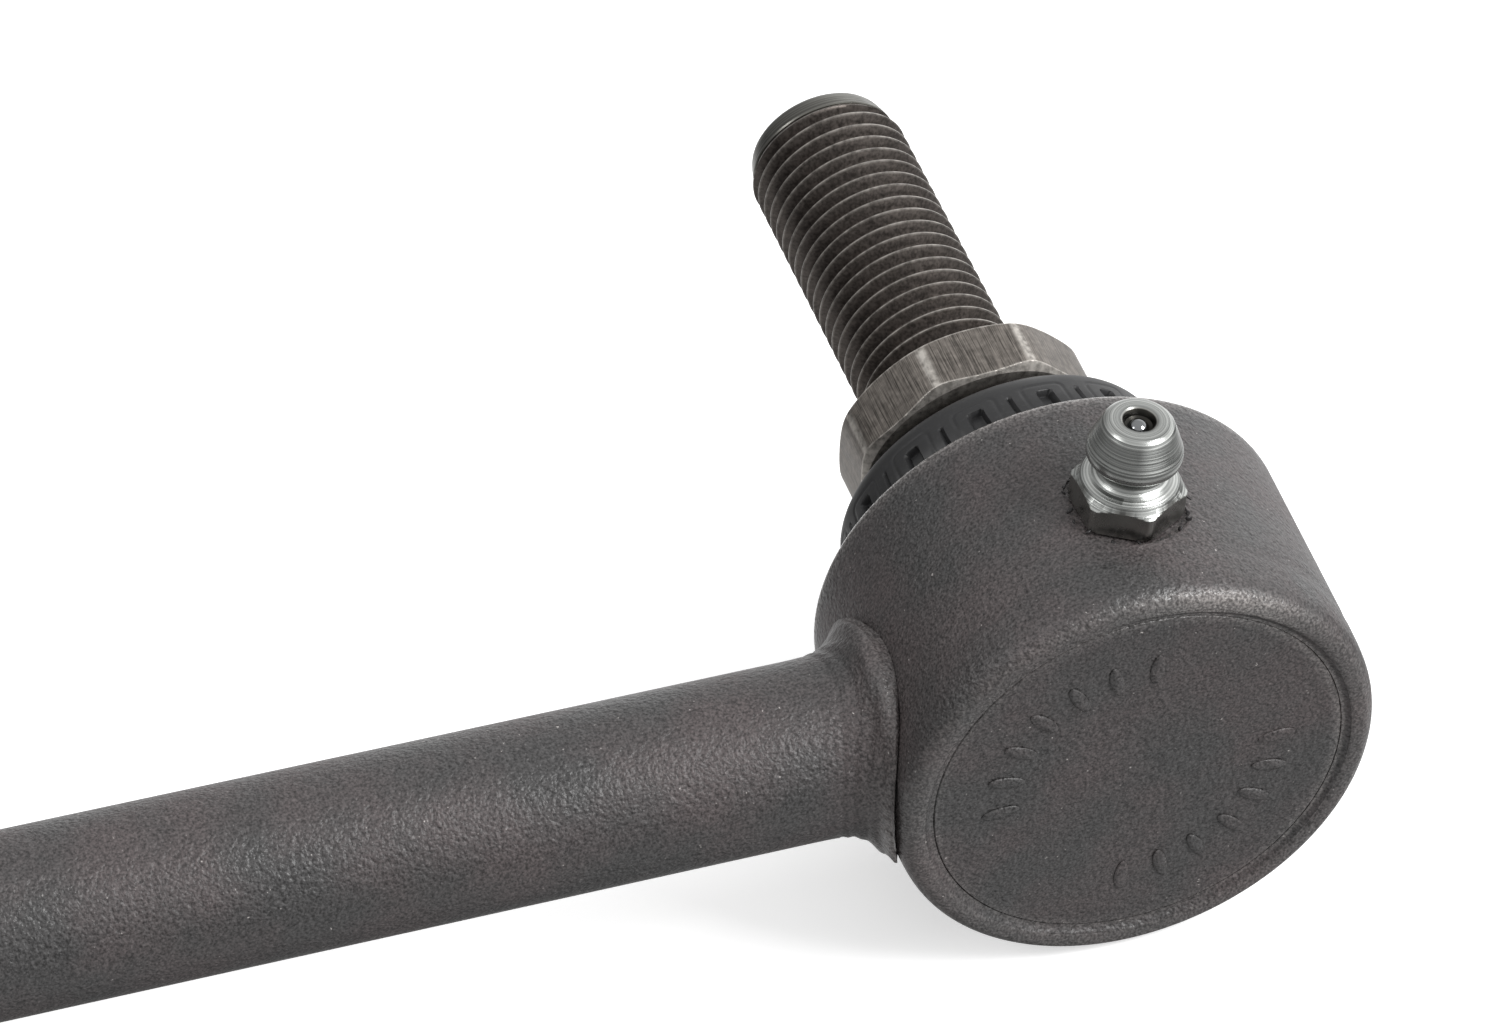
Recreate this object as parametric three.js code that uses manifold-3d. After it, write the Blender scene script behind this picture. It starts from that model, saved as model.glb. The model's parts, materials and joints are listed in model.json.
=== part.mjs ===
// Stabilizer link with two greasable ball-joint ends.
// Millimetres, +Z up. The bar lies along X with its middle over the origin, and the link rests on the
// round sides of its two housings. Each end is built in its own frame: bar axis and housing axis meet
// at its origin, the stud points along +Y, the bar leaves along -X and the grease fitting points up.
import * as THREE from 'three';
import { mergeVertices } from 'three/addons/utils/BufferGeometryUtils.js';
import Module from 'manifold-3d';

const wasm = await Module();
wasm.setup();

// ---- Driving dimensions -------------------------------------------------------------------------

const gap = 0.3; // running and seating clearance between neighbouring pieces

const linkLength = 220; // centre to centre of the two housings
const barRadius = 6.25;
const flareRadius = 8.3; // upset bar end where it meets the housing
const flareLength = 4.1;
const flareBend = 0.35; // share of that length before the flare opens
const flareSink = 1; // widest ring of the flare inside the housing's outer radius

const housingRadius = 17.2;
const rimWall = 1.8; // wall round the boot recess
const rimHeight = 9.57; // ball centre to the housing's stud side
const bootRecessDepth = 2.9;
const lipWall = 2; // rolled lip round the cover plate
const lipRound = 1.7; // outside radius of the rolled lip
const lipThickness = 0.75;
const lipOverlap = 0.9; // how far the lip reaches over the cover plate's edge
const lipProud = 0.14; // lip face past the cover plate's face

const ballRadius = 7.5;
const ballOffset = 1.5; // ball centre from the bar axis, towards the stud side
const ballTrim = 0.6; // flat on the bottom of the ball
const neckRadius = 4.4;
const swingCone = 28; // largest lean of the stud from the housing axis, degrees
const bearingWall = 4;
const bearingReach = 3.4; // upper bearing below the ball's equator
const seatRise = 1; // thrust seat's foot above the bottom pole of the ball
const springHeight = 1.1; // preload spring between seat and cover plate
const springSheet = 0.55;
const coverThickness = 1.8;
const coverRim = 1.05; // thinner edge that the lip holds
const overcut = 1; // how far a cutting solid passes the face that it cuts

const bootSeatRadius = 6; // stud land that the boot's sleeve grips
const bootSeatStart = 15.2; // from the ball centre along the stud
const collarStart = 20.4;
const collarLength = 4.5;
const collarFlats = 18; // across flats
const collarSides = 8;
const collarChamfer = 0.55;
const threadRadius = 5.94;
const threadPitch = 1.25;
const threadDepth = 0.77;
const threadStart = 26.1;
const threadEnd = 51.1;
const threadPhase = 0.775; // height of one crest over the stud's zero angle
const threadSides = 12; // facets a turn
const runoutRadius = 4.9;
const shoulderLand = 0.45;
const landStep = 0.06; // shoulder land over the thread's crests
const tipLength = 1.7;
const tipRadius = 4.9;

const bootBaseRadius = 15.1;
const bootWallRadius = 13.2;
const bootShoulderRadius = 11.4;
const bootCrown = 17.5; // from the ball centre along the stud
const bootWall = 1.5;
const sleeveWall = 1.3;
const sleeveTop = 19.9;
const bootBend = 2.6; // height over the rim before the wall narrows
const bootTaper = 1; // how much it narrows up to the shoulder
const shoulderRound = 1;
const shoulderDrop = 2.2; // top of the wall below the crown
const crownRise = 0.25; // shoulder's top over the crown
const crownFillet = 0.6; // crown into the sleeve, outside and inside
const leanedBelowCrown = 2.5; // where the wall has taken the stud's whole lean
const baseRingHeight = 0.85;
const neckRingHeight = 1.1;
const neckRingWall = 0.9;

const restLean = { aboutX: 6.5, aboutZ: 4.1 }; // degrees that each stud leans at rest

const fittingAngle = 4.7; // round the housing axis from +Z towards +X, degrees
const fittingOffset = 0.4; // along the housing axis
const fittingTurn = 33; // of the hexagon's corners about the fitting, degrees
const fittingFlats = 7;
const hexHeight = 2.05;
const hexBevel = 0.57; // height of the chamfer on its corners
const fittingNeck = 2.25;
const neckHeight = 1.5;
const neckFillet = 0.2;
const fittingThread = 3; // radius of the tapped hole
const spotDepth = 0.55;
const spotMargin = 0.36; // spot face past the hexagon's corners
const fittingHead = 3.25;
const headFlare = 1; // height over which the neck opens to the head's band
const headChamfer = 0.25;
const bandHeight = 0.6;
const headHeight = 3; // band to the top face
const headShoulder = 2.4;
const headEdge = 0.6; // height of the rounded shoulder under the top face
const headFace = 1.9;
const mouthDepth = 0.35;
const greaseBore = 1.1;
const greaseMouth = 0.65;
const greasePassage = 0.5;
const checkBallRadius = 0.8;
const checkWire = 0.14;
const checkTurns = 4;
const springSink = 0.2; // spring's foot below the hexagon's top

// Facets round each turned shape, or steps along an arc.
const facets = {
  bar: 28,
  flare: 5,
  housing: 48,
  barCut: 96,
  lip: 4,
  cover: 32,
  bearing: 28,
  bearingSocket: 5,
  seatSocket: 4,
  stud: 24,
  ball: 9,
  boot: 32,
  bootShoulder: 3,
  neckRing: 24,
  fitting: 24,
  hole: 16,
  spotFace: 20,
  greaseHole: 10,
  greaseBore: 14,
  checkBall: 12,
  wire: 3,
  coil: 8,
};

// ---- Derived places -----------------------------------------------------------------------------

const degrees = THREE.MathUtils.degToRad;
const boreRadius = ballRadius + bearingWall + 2 * gap;
const socketRadius = ballRadius + gap;
const rimFace = ballOffset + rimHeight;
const seatFoot = ballOffset - ballRadius + seatRise;
const springTop = seatFoot - gap;
const coverInside = springTop - springHeight - gap;
const coverFace = coverInside - coverThickness;
const capFace = coverFace - lipProud;
const coverRadius = housingRadius - lipWall;
const lipInside = coverRadius + gap - lipOverlap;
const recessRadius = housingRadius - rimWall;
const recessFloor = rimFace - bootRecessDepth;
const crownTop = bootCrown + crownRise;
const sleeveStart = crownTop + crownFillet;

// Radius that the neck needs at a height over the ball centre when the stud leans fully.
function swingRadius(height, clearance) {
  const lean = degrees(swingCone);
  return height * Math.tan(lean) + neckRadius / Math.cos(lean) + clearance;
}

// Height over the ball centre where that cone leaves the ball socket.
function socketLip() {
  const slope = Math.tan(degrees(swingCone));
  const foot = swingRadius(0, gap);
  const square = 1 + slope * slope;
  const root = slope * slope * foot * foot - square * (foot * foot - socketRadius * socketRadius);
  return (Math.sqrt(root) - slope * foot) / square;
}

const bearingLip = socketLip();
const bearingTop = ballOffset + bearingLip;
const bearingFoot = ballOffset - bearingReach;
const seatTop = bearingFoot - gap;

const hexCorner = fittingFlats / 2 / Math.cos(Math.PI / 6);
const spotRadius = hexCorner + spotMargin;

// ---- Solid helpers ------------------------------------------------------------------------------

function solidOf(geometry) {
  const bare = geometry.clone();
  bare.deleteAttribute('normal');
  bare.deleteAttribute('uv');
  const merged = mergeVertices(bare, 1e-4);
  const index = merged.index.array;
  const corners = [];
  for (let i = 0; i < index.length; i += 3) {
    const [a, b, c] = [index[i], index[i + 1], index[i + 2]];
    if (a !== b && b !== c && c !== a) corners.push(a, b, c);
  }
  return new wasm.Manifold(new wasm.Mesh({
    numProp: 3,
    vertProperties: new Float32Array(merged.attributes.position.array),
    triVerts: new Uint32Array(corners),
  }));
}

function geometryOf(solid) {
  const mesh = solid.getMesh();
  const geometry = new THREE.BufferGeometry();
  geometry.setAttribute('position', new THREE.BufferAttribute(mesh.vertProperties, 3));
  geometry.setIndex(new THREE.BufferAttribute(mesh.triVerts, 1));
  geometry.computeVertexNormals();
  return geometry;
}

// Points of an arc in the profile plane, angles in degrees from the radial direction.
function arc(centreR, centreY, radius, from, to, steps) {
  const points = [];
  for (let i = 0; i <= steps; i += 1) {
    const angle = degrees(from + (to - from) * i / steps);
    points.push([centreR + radius * Math.cos(angle), centreY + radius * Math.sin(angle)]);
  }
  return points;
}

// Solid of revolution about Y. A profile that stays off the axis is closed on itself.
function revolve(profile, segments) {
  const points = profile.map(([r, y]) => new THREE.Vector2(Math.max(r, 0), y));
  const first = points[0];
  const last = points[points.length - 1];
  if (first.x > 0 || last.x > 0) points.push(first.clone());
  return new THREE.LatheGeometry(points, segments);
}

function rod(radius, from, to, segments) {
  return revolve([[0, from], [radius, from], [radius, to], [0, to]], segments);
}

function prism(radius, sides, from, to) {
  const turned = rod(radius, from, to, sides);
  return turned.rotateY(Math.PI / sides);
}

// ---- Bar ----------------------------------------------------------------------------------------

function barSolid() {
  const half = linkLength / 2;
  const flareFoot = half - housingRadius + flareSink;
  const flareStart = flareFoot - flareLength;
  const curve = new THREE.QuadraticBezierCurve(
    new THREE.Vector2(barRadius, flareStart),
    new THREE.Vector2(barRadius, flareFoot - flareLength * flareBend),
    new THREE.Vector2(flareRadius, flareFoot),
  );
  const upper = curve.getPoints(facets.flare).map((point) => [point.x, point.y]);
  const end = half - Math.sqrt(housingRadius ** 2 - flareRadius ** 2);
  const lower = upper.map(([r, y]) => [r, -y]).reverse();
  const profile = [[0, -end], [flareRadius, -end], ...lower, ...upper, [flareRadius, end], [0, end]];
  const round = solidOf(revolve(profile, facets.bar).rotateZ(-Math.PI / 2));
  const reach = 2 * flareRadius;
  const wall = rod(housingRadius + gap, -reach, reach, facets.barCut);
  const cut = (x) => solidOf(wall.clone().translate(x, 0, 0));
  return round.subtract(cut(half)).subtract(cut(-half));
}

// ---- Housing and what it holds ------------------------------------------------------------------

// Carries a solid made along +Y, measured from the housing axis, to the grease fitting's place.
function toFitting(geometry) {
  return geometry.rotateX(Math.PI / 2).rotateY(degrees(fittingAngle)).translate(0, fittingOffset, 0);
}

function housingSolid() {
  const shoulder = bearingTop + gap;
  const profile = [
    [lipInside, capFace],
    ...arc(housingRadius - lipRound, capFace + lipRound, lipRound, -90, 0, facets.lip),
    [housingRadius, rimFace - gap],
    [housingRadius - gap, rimFace],
    [recessRadius, rimFace],
    [recessRadius, recessFloor],
    [swingRadius(recessFloor - ballOffset, 2 * gap), recessFloor],
    [swingRadius(shoulder - ballOffset, 2 * gap), shoulder],
    [boreRadius, shoulder],
    [boreRadius, coverInside + gap],
    [coverRadius + gap, coverInside + gap],
    [coverRadius + gap, capFace + lipThickness],
    [lipInside, capFace + lipThickness],
  ];
  const outside = housingRadius + overcut;
  const tappedHole = toFitting(rod(fittingThread, boreRadius - overcut, outside, facets.hole));
  const spotFace = toFitting(rod(spotRadius, housingRadius - spotDepth, outside, facets.spotFace));
  const cup = solidOf(revolve(profile, facets.housing));
  return cup.subtract(solidOf(tappedHole)).subtract(solidOf(spotFace));
}

function coverSolid() {
  const step = coverInside - coverRim;
  const raised = lipInside - gap;
  return solidOf(revolve([
    [0, coverFace],
    [raised - lipProud, coverFace],
    [raised, coverFace + lipProud],
    [raised, step],
    [coverRadius, step],
    [coverRadius, coverInside],
    [0, coverInside],
  ], facets.cover));
}

// Arc of the ball socket between two heights over the ball centre.
function socket(fromHeight, toHeight, steps) {
  const angle = (height) => THREE.MathUtils.radToDeg(Math.asin(height / socketRadius));
  return arc(0, ballOffset, socketRadius, angle(fromHeight), angle(toHeight), steps);
}

function upperBearingSolid() {
  const outer = boreRadius - gap;
  const ring = revolve([
    ...socket(bearingLip, -bearingReach, facets.bearingSocket),
    [outer, bearingFoot],
    [outer, bearingTop],
  ], facets.bearing);
  const hole = rod(greaseBore, ballRadius - overcut, boreRadius + overcut, facets.greaseHole);
  const greaseHole = toFitting(hole);
  return solidOf(ring).subtract(solidOf(greaseHole));
}

function thrustSeatSolid() {
  const outer = boreRadius - gap;
  const ring = revolve([
    ...socket(seatTop - ballOffset, seatFoot - ballOffset, facets.seatSocket),
    [outer, seatFoot],
    [outer, seatTop],
  ], facets.bearing);
  return solidOf(ring);
}

function preloadSpringSolid() {
  const outer = boreRadius - 2 * gap;
  const inner = outer / 2;
  const foot = springTop - springHeight;
  return solidOf(revolve([
    [inner, springTop - springSheet],
    [outer, foot],
    [outer, foot + springSheet],
    [inner, springTop],
  ], facets.bearing));
}

// ---- Ball stud ----------------------------------------------------------------------------------

// A screw of thread, solid to its axis: one tooth section carried round it, climbing one pitch a turn.
function threadScrew(from, to, perTurn) {
  const flank = threadDepth * Math.tan(Math.PI / 6);
  const crest = threadPitch - 2 * flank;
  const section = [
    [threadRadius - threadDepth, 0],
    [threadRadius, flank],
    [threadRadius, flank + crest],
    [threadRadius - threadDepth, threadPitch],
  ];
  const first = Math.floor((from - threadPhase) / threadPitch) - 1;
  const start = first * threadPitch + threadPhase - threadPitch / 2;
  const stations = (Math.ceil((to - start) / threadPitch) + 1) * perTurn;
  const width = section.length;
  const vertices = [];
  for (let station = 0; station <= stations; station += 1) {
    const angle = (station % perTurn) / perTurn * 2 * Math.PI;
    for (const [radius, lift] of section) {
      const height = start + threadPitch * (station + lift / threadPitch * perTurn) / perTurn;
      vertices.push(radius * Math.sin(angle), height, radius * Math.cos(angle));
    }
  }
  const faces = [];
  for (let station = 0; station < stations; station += 1) {
    for (let i = 0; i < width - 1; i += 1) {
      const here = station * width + i;
      faces.push(here, here + width, here + width + 1, here, here + width + 1, here + 1);
    }
  }
  const foot = vertices.length / 3;
  const head = foot + 1;
  vertices.push(0, start, 0, 0, start + threadPitch * (stations / perTurn + 1), 0);
  const last = stations * width;
  for (let turn = 0; turn < perTurn; turn += 1) {
    const low = turn * width;
    const high = last - turn * width + width - 1;
    faces.push(foot, low + width, low, head, high - width, high);
  }
  for (let i = 0; i < width - 1; i += 1) faces.push(foot, i, i + 1, head, last + i + 1, last + i);
  const screw = new THREE.BufferGeometry();
  screw.setAttribute('position', new THREE.Float32BufferAttribute(vertices, 3));
  screw.setIndex(faces);
  return solidOf(screw);
}

// The stud along +Y with the ball centre at the origin.
function studSolid() {
  const collarEnd = collarStart + collarLength;
  const tip = threadEnd + tipLength;
  const pole = -ballRadius + ballTrim;
  const poleAngle = THREE.MathUtils.radToDeg(Math.asin(pole / ballRadius));
  const neckAngle = THREE.MathUtils.radToDeg(Math.acos(neckRadius / ballRadius));
  const landRadius = threadRadius + landStep;
  const runoutStart = collarEnd + shoulderLand + (threadRadius - runoutRadius) / 2;
  const body = solidOf(revolve([
    [0, pole],
    ...arc(0, 0, ballRadius, poleAngle, neckAngle, facets.ball),
    [neckRadius, bootSeatStart - (bootSeatRadius - neckRadius)],
    [bootSeatRadius, bootSeatStart],
    [bootSeatRadius, collarStart + gap],
    [landRadius, collarStart + gap],
    [landRadius, collarEnd + shoulderLand],
    [runoutRadius, runoutStart],
    [runoutRadius, threadStart + threadPitch],
    [0, threadStart + threadPitch],
  ], facets.stud));
  const corner = collarFlats / 2 / Math.cos(Math.PI / collarSides);
  const faceRadius = collarFlats / 2 - collarChamfer / 2;
  const bevel = (corner - faceRadius) / 2 + collarChamfer / 2;
  const turned = solidOf(revolve([
    [0, collarStart],
    [faceRadius, collarStart],
    [corner + gap, collarStart + bevel],
    [corner + gap, collarEnd - bevel],
    [faceRadius, collarEnd],
    [0, collarEnd],
  ], 4 * collarSides));
  const collar = solidOf(prism(corner, collarSides, collarStart, collarEnd)).intersect(turned);
  const tipSlope = tipLength / (threadRadius - tipRadius);
  const envelope = solidOf(revolve([
    [0, threadStart],
    [runoutRadius + landStep, threadStart],
    [threadRadius + gap, threadStart + threadPitch],
    [threadRadius + gap, tip - (threadRadius + gap - tipRadius) * tipSlope],
    [tipRadius, tip],
    [0, tip],
  ], threadSides));
  const thread = threadScrew(threadStart, tip, threadSides).intersect(envelope);
  return body.add(collar).add(thread);
}

// Leans a point by a share of the stud's lean, about the ball centre.
function leanPoint(point, share) {
  const turn = new THREE.Euler(degrees(restLean.aboutX * share), 0, degrees(restLean.aboutZ * share));
  return point.applyEuler(turn);
}

// ---- Dust boot and its rings --------------------------------------------------------------------

// The boot's base stays with the housing and its sleeve leans with the stud, so its wall is bent.
function bootSolid() {
  const baseFoot = recessFloor + gap - ballOffset;
  const baseTop = rimHeight - 2 * gap - baseRingHeight;
  const sleeveInside = bootSeatRadius + gap;
  const sleeveOutside = sleeveInside + sleeveWall;
  const sleeveFoot = bootCrown - bootWall;
  const shoulderMiddle = bootShoulderRadius - shoulderRound;
  const profile = [
    [bootWallRadius - bootWall, baseFoot],
    [bootBaseRadius, baseFoot],
    [bootBaseRadius, baseTop],
    [bootWallRadius, baseTop],
    [bootWallRadius, rimHeight + gap],
    [bootWallRadius - gap, rimHeight + bootBend],
    [bootWallRadius - bootTaper, bootCrown - shoulderDrop],
    ...arc(shoulderMiddle, crownTop - shoulderRound, shoulderRound, 0, 90, facets.bootShoulder),
    [sleeveOutside + crownFillet, crownTop],
    [sleeveOutside, sleeveStart],
    [sleeveOutside, sleeveTop],
    [sleeveInside, sleeveTop],
    [sleeveInside, sleeveFoot],
    [bootShoulderRadius - bootWall - crownFillet, sleeveFoot - crownFillet],
    [bootWallRadius - bootWall - crownFillet, rimHeight + bootBend],
  ];
  const geometry = revolve(profile, facets.boot);
  const position = geometry.attributes.position;
  const point = new THREE.Vector3();
  for (let i = 0; i < position.count; i += 1) {
    point.fromBufferAttribute(position, i);
    leanPoint(point, THREE.MathUtils.smoothstep(point.y, rimHeight, bootCrown - leanedBelowCrown));
    position.setXYZ(i, point.x, point.y, point.z);
  }
  return solidOf(geometry);
}

function baseRingSolid() {
  const inner = bootWallRadius + gap;
  const outer = recessRadius - gap;
  const top = rimHeight - gap / 2;
  return solidOf(revolve([
    [inner, top - baseRingHeight],
    [outer, top - baseRingHeight],
    [outer, top],
    [inner, top],
  ], facets.boot));
}

function neckRingSolid() {
  const inner = bootSeatRadius + sleeveWall + 2 * gap;
  const outer = inner + neckRingWall;
  const middle = (sleeveStart + sleeveTop) / 2;
  const half = neckRingHeight / 2;
  return solidOf(revolve([
    [inner, middle - half],
    [outer, middle - half],
    [outer, middle + half],
    [inner, middle + half],
  ], facets.neckRing));
}

// ---- Grease fitting -----------------------------------------------------------------------------

// Heights are measured from the housing axis along the fitting.
const hexFoot = housingRadius - spotDepth + gap;
const hexTop = hexFoot + hexHeight;
const headFoot = hexTop + neckHeight;
const headBand = headFoot + headFlare;
const headTop = headBand + headHeight;
const mouthFloor = headTop - mouthDepth;
const checkSeat = Math.sqrt(checkBallRadius ** 2 - greaseMouth ** 2);
const checkBallPlace = mouthFloor - checkSeat - gap / 2;
const springFoot = hexTop - springSink;

function fittingBodySolid() {
  const shankRadius = fittingThread - gap;
  const blank = hexCorner + overcut;
  const body = solidOf(revolve([
    [0, boreRadius + gap],
    [shankRadius, boreRadius + gap],
    [shankRadius, hexFoot],
    [blank, hexFoot],
    [blank, hexTop - hexBevel],
    [hexCorner, hexTop],
    [fittingNeck + neckFillet, hexTop + neckHeight * 2 / 3],
    [fittingNeck, headFoot],
    [fittingHead - headChamfer, headBand - headChamfer],
    [fittingHead, headBand],
    [fittingHead, headBand + bandHeight],
    [headShoulder, headTop - headEdge],
    [headFace, headTop],
    [0, headTop],
  ], facets.fitting));
  const bar = prism(hexCorner, 6, hexFoot - overcut, headTop + overcut);
  const hexagon = solidOf(bar.rotateY(degrees(fittingTurn)));
  const round = solidOf(rod(shankRadius, boreRadius, hexFoot + overcut, facets.fitting));
  const bore = solidOf(revolve([
    [0, boreRadius],
    [greasePassage, boreRadius],
    [greasePassage, springFoot - gap],
    [greaseBore, springFoot - gap],
    [greaseBore, checkBallPlace],
    [greaseMouth, mouthFloor],
    [greaseBore, headTop + gap],
    [0, headTop + gap],
  ], facets.greaseBore));
  return body.intersect(hexagon.add(round)).subtract(bore);
}

function checkBallSolid() {
  const ball = new THREE.SphereGeometry(checkBallRadius, facets.checkBall, facets.checkBall * 2 / 3);
  return solidOf(ball.translate(0, checkBallPlace, 0));
}

class CoilCurve extends THREE.Curve {
  constructor(radius, from, to, turns) {
    super();
    Object.assign(this, { radius, from, to, turns });
  }

  getPoint(t, target = new THREE.Vector3()) {
    const angle = t * this.turns * 2 * Math.PI;
    const height = this.from + (this.to - this.from) * t;
    return target.set(this.radius * Math.sin(angle), height, this.radius * Math.cos(angle));
  }
}

function checkSpringSolid() {
  const from = springFoot + checkWire;
  const to = checkBallPlace - checkBallRadius - gap;
  const path = new CoilCurve(greaseBore - gap - checkWire / 2, from, to, checkTurns);
  const wire = new THREE.Shape().absarc(0, 0, checkWire, 0, 2 * Math.PI);
  const coil = new THREE.ExtrudeGeometry(wire, {
    steps: facets.coil * checkTurns,
    curveSegments: facets.wire,
    extrudePath: path,
  });
  return solidOf(coil);
}

// ---- Materials ----------------------------------------------------------------------------------

const finishes = {
  coated_steel: { color: 0x3c3a3a, roughness: 0.55, metalness: 0.2 },
  bearing_steel: { color: 0x8a8c8e, roughness: 0.35, metalness: 0.9 },
  spring_steel: { color: 0x55585c, roughness: 0.4, metalness: 0.8 },
  stud_steel: { color: 0x4a4745, roughness: 0.4, metalness: 0.8 },
  boot_rubber: { color: 0x222224, roughness: 0.5, metalness: 0 },
  ring_steel: { color: 0x2b2b2d, roughness: 0.45, metalness: 0.6 },
  zinc_plate: { color: 0xc9ccca, roughness: 0.25, metalness: 1 },
  polished_steel: { color: 0xb4b6b8, roughness: 0.1, metalness: 1 },
};

// ---- Assembly -----------------------------------------------------------------------------------

const group = new THREE.Group();

function addPiece(parent, name, solid, finish) {
  const material = new THREE.MeshStandardMaterial(finishes[finish]);
  const mesh = new THREE.Mesh(geometryOf(solid), material);
  mesh.name = name;
  parent.add(mesh);
}

function fittingGroup(mark) {
  const parent = new THREE.Group();
  addPiece(parent, `grease_fitting_${mark}`, fittingBodySolid(), 'zinc_plate');
  addPiece(parent, `check_ball_${mark}`, checkBallSolid(), 'polished_steel');
  addPiece(parent, `check_spring_${mark}`, checkSpringSolid(), 'spring_steel');
  parent.rotation.set(Math.PI / 2, degrees(fittingAngle), 0, 'YXZ');
  parent.position.y = fittingOffset;
  return parent;
}

function studGroup(mark) {
  const parent = new THREE.Group();
  addPiece(parent, `ball_stud_${mark}`, studSolid(), 'stud_steel');
  addPiece(parent, `boot_neck_ring_${mark}`, neckRingSolid(), 'ring_steel');
  parent.rotation.set(degrees(restLean.aboutX), 0, degrees(restLean.aboutZ));
  return parent;
}

function jointEnd(mark) {
  const parent = new THREE.Group();
  addPiece(parent, `housing_${mark}`, housingSolid(), 'coated_steel');
  addPiece(parent, `cover_plate_${mark}`, coverSolid(), 'coated_steel');
  addPiece(parent, `upper_bearing_${mark}`, upperBearingSolid(), 'bearing_steel');
  addPiece(parent, `thrust_seat_${mark}`, thrustSeatSolid(), 'bearing_steel');
  addPiece(parent, `preload_spring_${mark}`, preloadSpringSolid(), 'spring_steel');
  parent.add(fittingGroup(mark));
  const aroundBall = new THREE.Group();
  addPiece(aroundBall, `dust_boot_${mark}`, bootSolid(), 'boot_rubber');
  addPiece(aroundBall, `boot_base_ring_${mark}`, baseRingSolid(), 'ring_steel');
  aroundBall.add(studGroup(mark));
  aroundBall.position.y = ballOffset;
  parent.add(aroundBall);
  return parent;
}

const bar = new THREE.Group();
addPiece(bar, 'link_bar', barSolid(), 'coated_steel');
bar.position.z = housingRadius;
group.add(bar);

for (const [mark, x, turn] of [['a', linkLength / 2, 0], ['b', -linkLength / 2, Math.PI]]) {
  const end = jointEnd(mark);
  end.position.set(x, 0, housingRadius);
  end.rotation.z = turn;
  group.add(end);
}

export default group;
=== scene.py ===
"""Looks of a greasable stabilizer link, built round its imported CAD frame.

Each ball-joint end is built in its own frame, in millimetres: the bar axis and the housing axis meet at
its origin, x points away from the bar, y along the stud and z up. A piece's mesh is then written in
metres in the row frame, with its object at the origin.
"""

from __future__ import annotations

import json
import logging
import math
from dataclasses import dataclass
from enum import Enum
from typing import Callable, Iterable, Optional, Sequence

import bmesh
import bpy
import numpy as np
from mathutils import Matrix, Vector


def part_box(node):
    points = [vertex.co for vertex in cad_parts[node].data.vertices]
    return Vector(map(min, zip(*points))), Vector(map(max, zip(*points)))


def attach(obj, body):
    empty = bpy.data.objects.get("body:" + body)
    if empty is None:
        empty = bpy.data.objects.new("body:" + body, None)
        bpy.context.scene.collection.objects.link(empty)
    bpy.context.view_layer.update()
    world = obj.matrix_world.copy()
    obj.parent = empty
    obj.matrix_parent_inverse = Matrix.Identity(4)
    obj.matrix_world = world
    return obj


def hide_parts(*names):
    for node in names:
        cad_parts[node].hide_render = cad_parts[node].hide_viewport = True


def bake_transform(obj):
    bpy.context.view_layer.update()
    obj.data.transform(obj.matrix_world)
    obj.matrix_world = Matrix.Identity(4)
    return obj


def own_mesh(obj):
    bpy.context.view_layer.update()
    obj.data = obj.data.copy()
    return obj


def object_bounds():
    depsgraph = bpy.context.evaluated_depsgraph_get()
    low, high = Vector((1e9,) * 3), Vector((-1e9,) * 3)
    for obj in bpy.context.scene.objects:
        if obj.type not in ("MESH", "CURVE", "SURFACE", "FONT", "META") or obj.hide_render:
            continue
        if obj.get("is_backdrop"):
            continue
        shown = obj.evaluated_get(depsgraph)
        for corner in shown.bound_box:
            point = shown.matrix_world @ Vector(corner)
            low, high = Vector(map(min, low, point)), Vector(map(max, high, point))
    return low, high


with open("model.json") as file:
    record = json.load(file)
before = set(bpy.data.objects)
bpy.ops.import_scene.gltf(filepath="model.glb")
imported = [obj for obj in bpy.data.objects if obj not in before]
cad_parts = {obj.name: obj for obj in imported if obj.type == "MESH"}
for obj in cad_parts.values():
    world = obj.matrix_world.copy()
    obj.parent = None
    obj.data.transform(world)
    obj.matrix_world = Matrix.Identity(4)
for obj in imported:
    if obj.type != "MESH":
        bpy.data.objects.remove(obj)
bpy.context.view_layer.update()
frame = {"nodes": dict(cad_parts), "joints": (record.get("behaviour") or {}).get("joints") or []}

LOG = logging.getLogger("stabilizer_link")
MM = 0.001
WEAR_AND_PAINTED_LIGHT = "wear"  # how far a point's finish is rubbed away, 0 to 1; on the housing and cover it also carries painted highlights and glints, and 2 marks painted shade in a grease fitting's mouth
OWN = "own_mm"  # a point's place in the frame its piece was made in, in millimetres


# ---- Frames and meshes ---------------------------------------------------------------------------


@dataclass(frozen=True)
class Seat:
    """A place and three directions that a piece is made in.

    Args:
        origin: Its place in the row frame, in metres.
        x, y, z: Unit directions of its own axes in the row frame.
    """

    origin: Vector
    x: Vector
    y: Vector
    z: Vector

    def place(self, points: np.ndarray) -> np.ndarray:
        """Returns points given in this frame in millimetres, in the row frame in metres."""
        return points @ np.array([self.x, self.y, self.z]) * MM + np.array(self.origin)

    def point(self, x: float, y: float, z: float) -> Vector:
        """Returns one point of this frame, in the row frame."""
        return Vector(self.place(np.array([[x, y, z]]))[0])


@dataclass
class Shell:
    """A closed mesh under construction: points in millimetres, faces, and the wear of each point, which on
    the housing and cover also carries painted highlights and glints, and in the grease fitting's mouth
    painted shade.
    """

    points: np.ndarray
    faces: list[tuple[int, ...]]
    wear: np.ndarray

    def joined(self, other: "Shell") -> "Shell":
        """Joins two shells as one mesh of two bodies.

        Args:
            other: The second shell.

        Returns:
            Both shells' points, faces and wear.
        """
        step = len(self.points)
        faces = self.faces + [tuple(i + step for i in face) for face in other.faces]
        points = np.vstack([self.points, other.points])
        return Shell(points, faces, np.concatenate([self.wear, other.wear]))


class Edge(Enum):
    """How a turned profile ends."""

    POLES = "poles"  # both ends meet the axis
    RING = "ring"  # the last point joins the first


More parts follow.
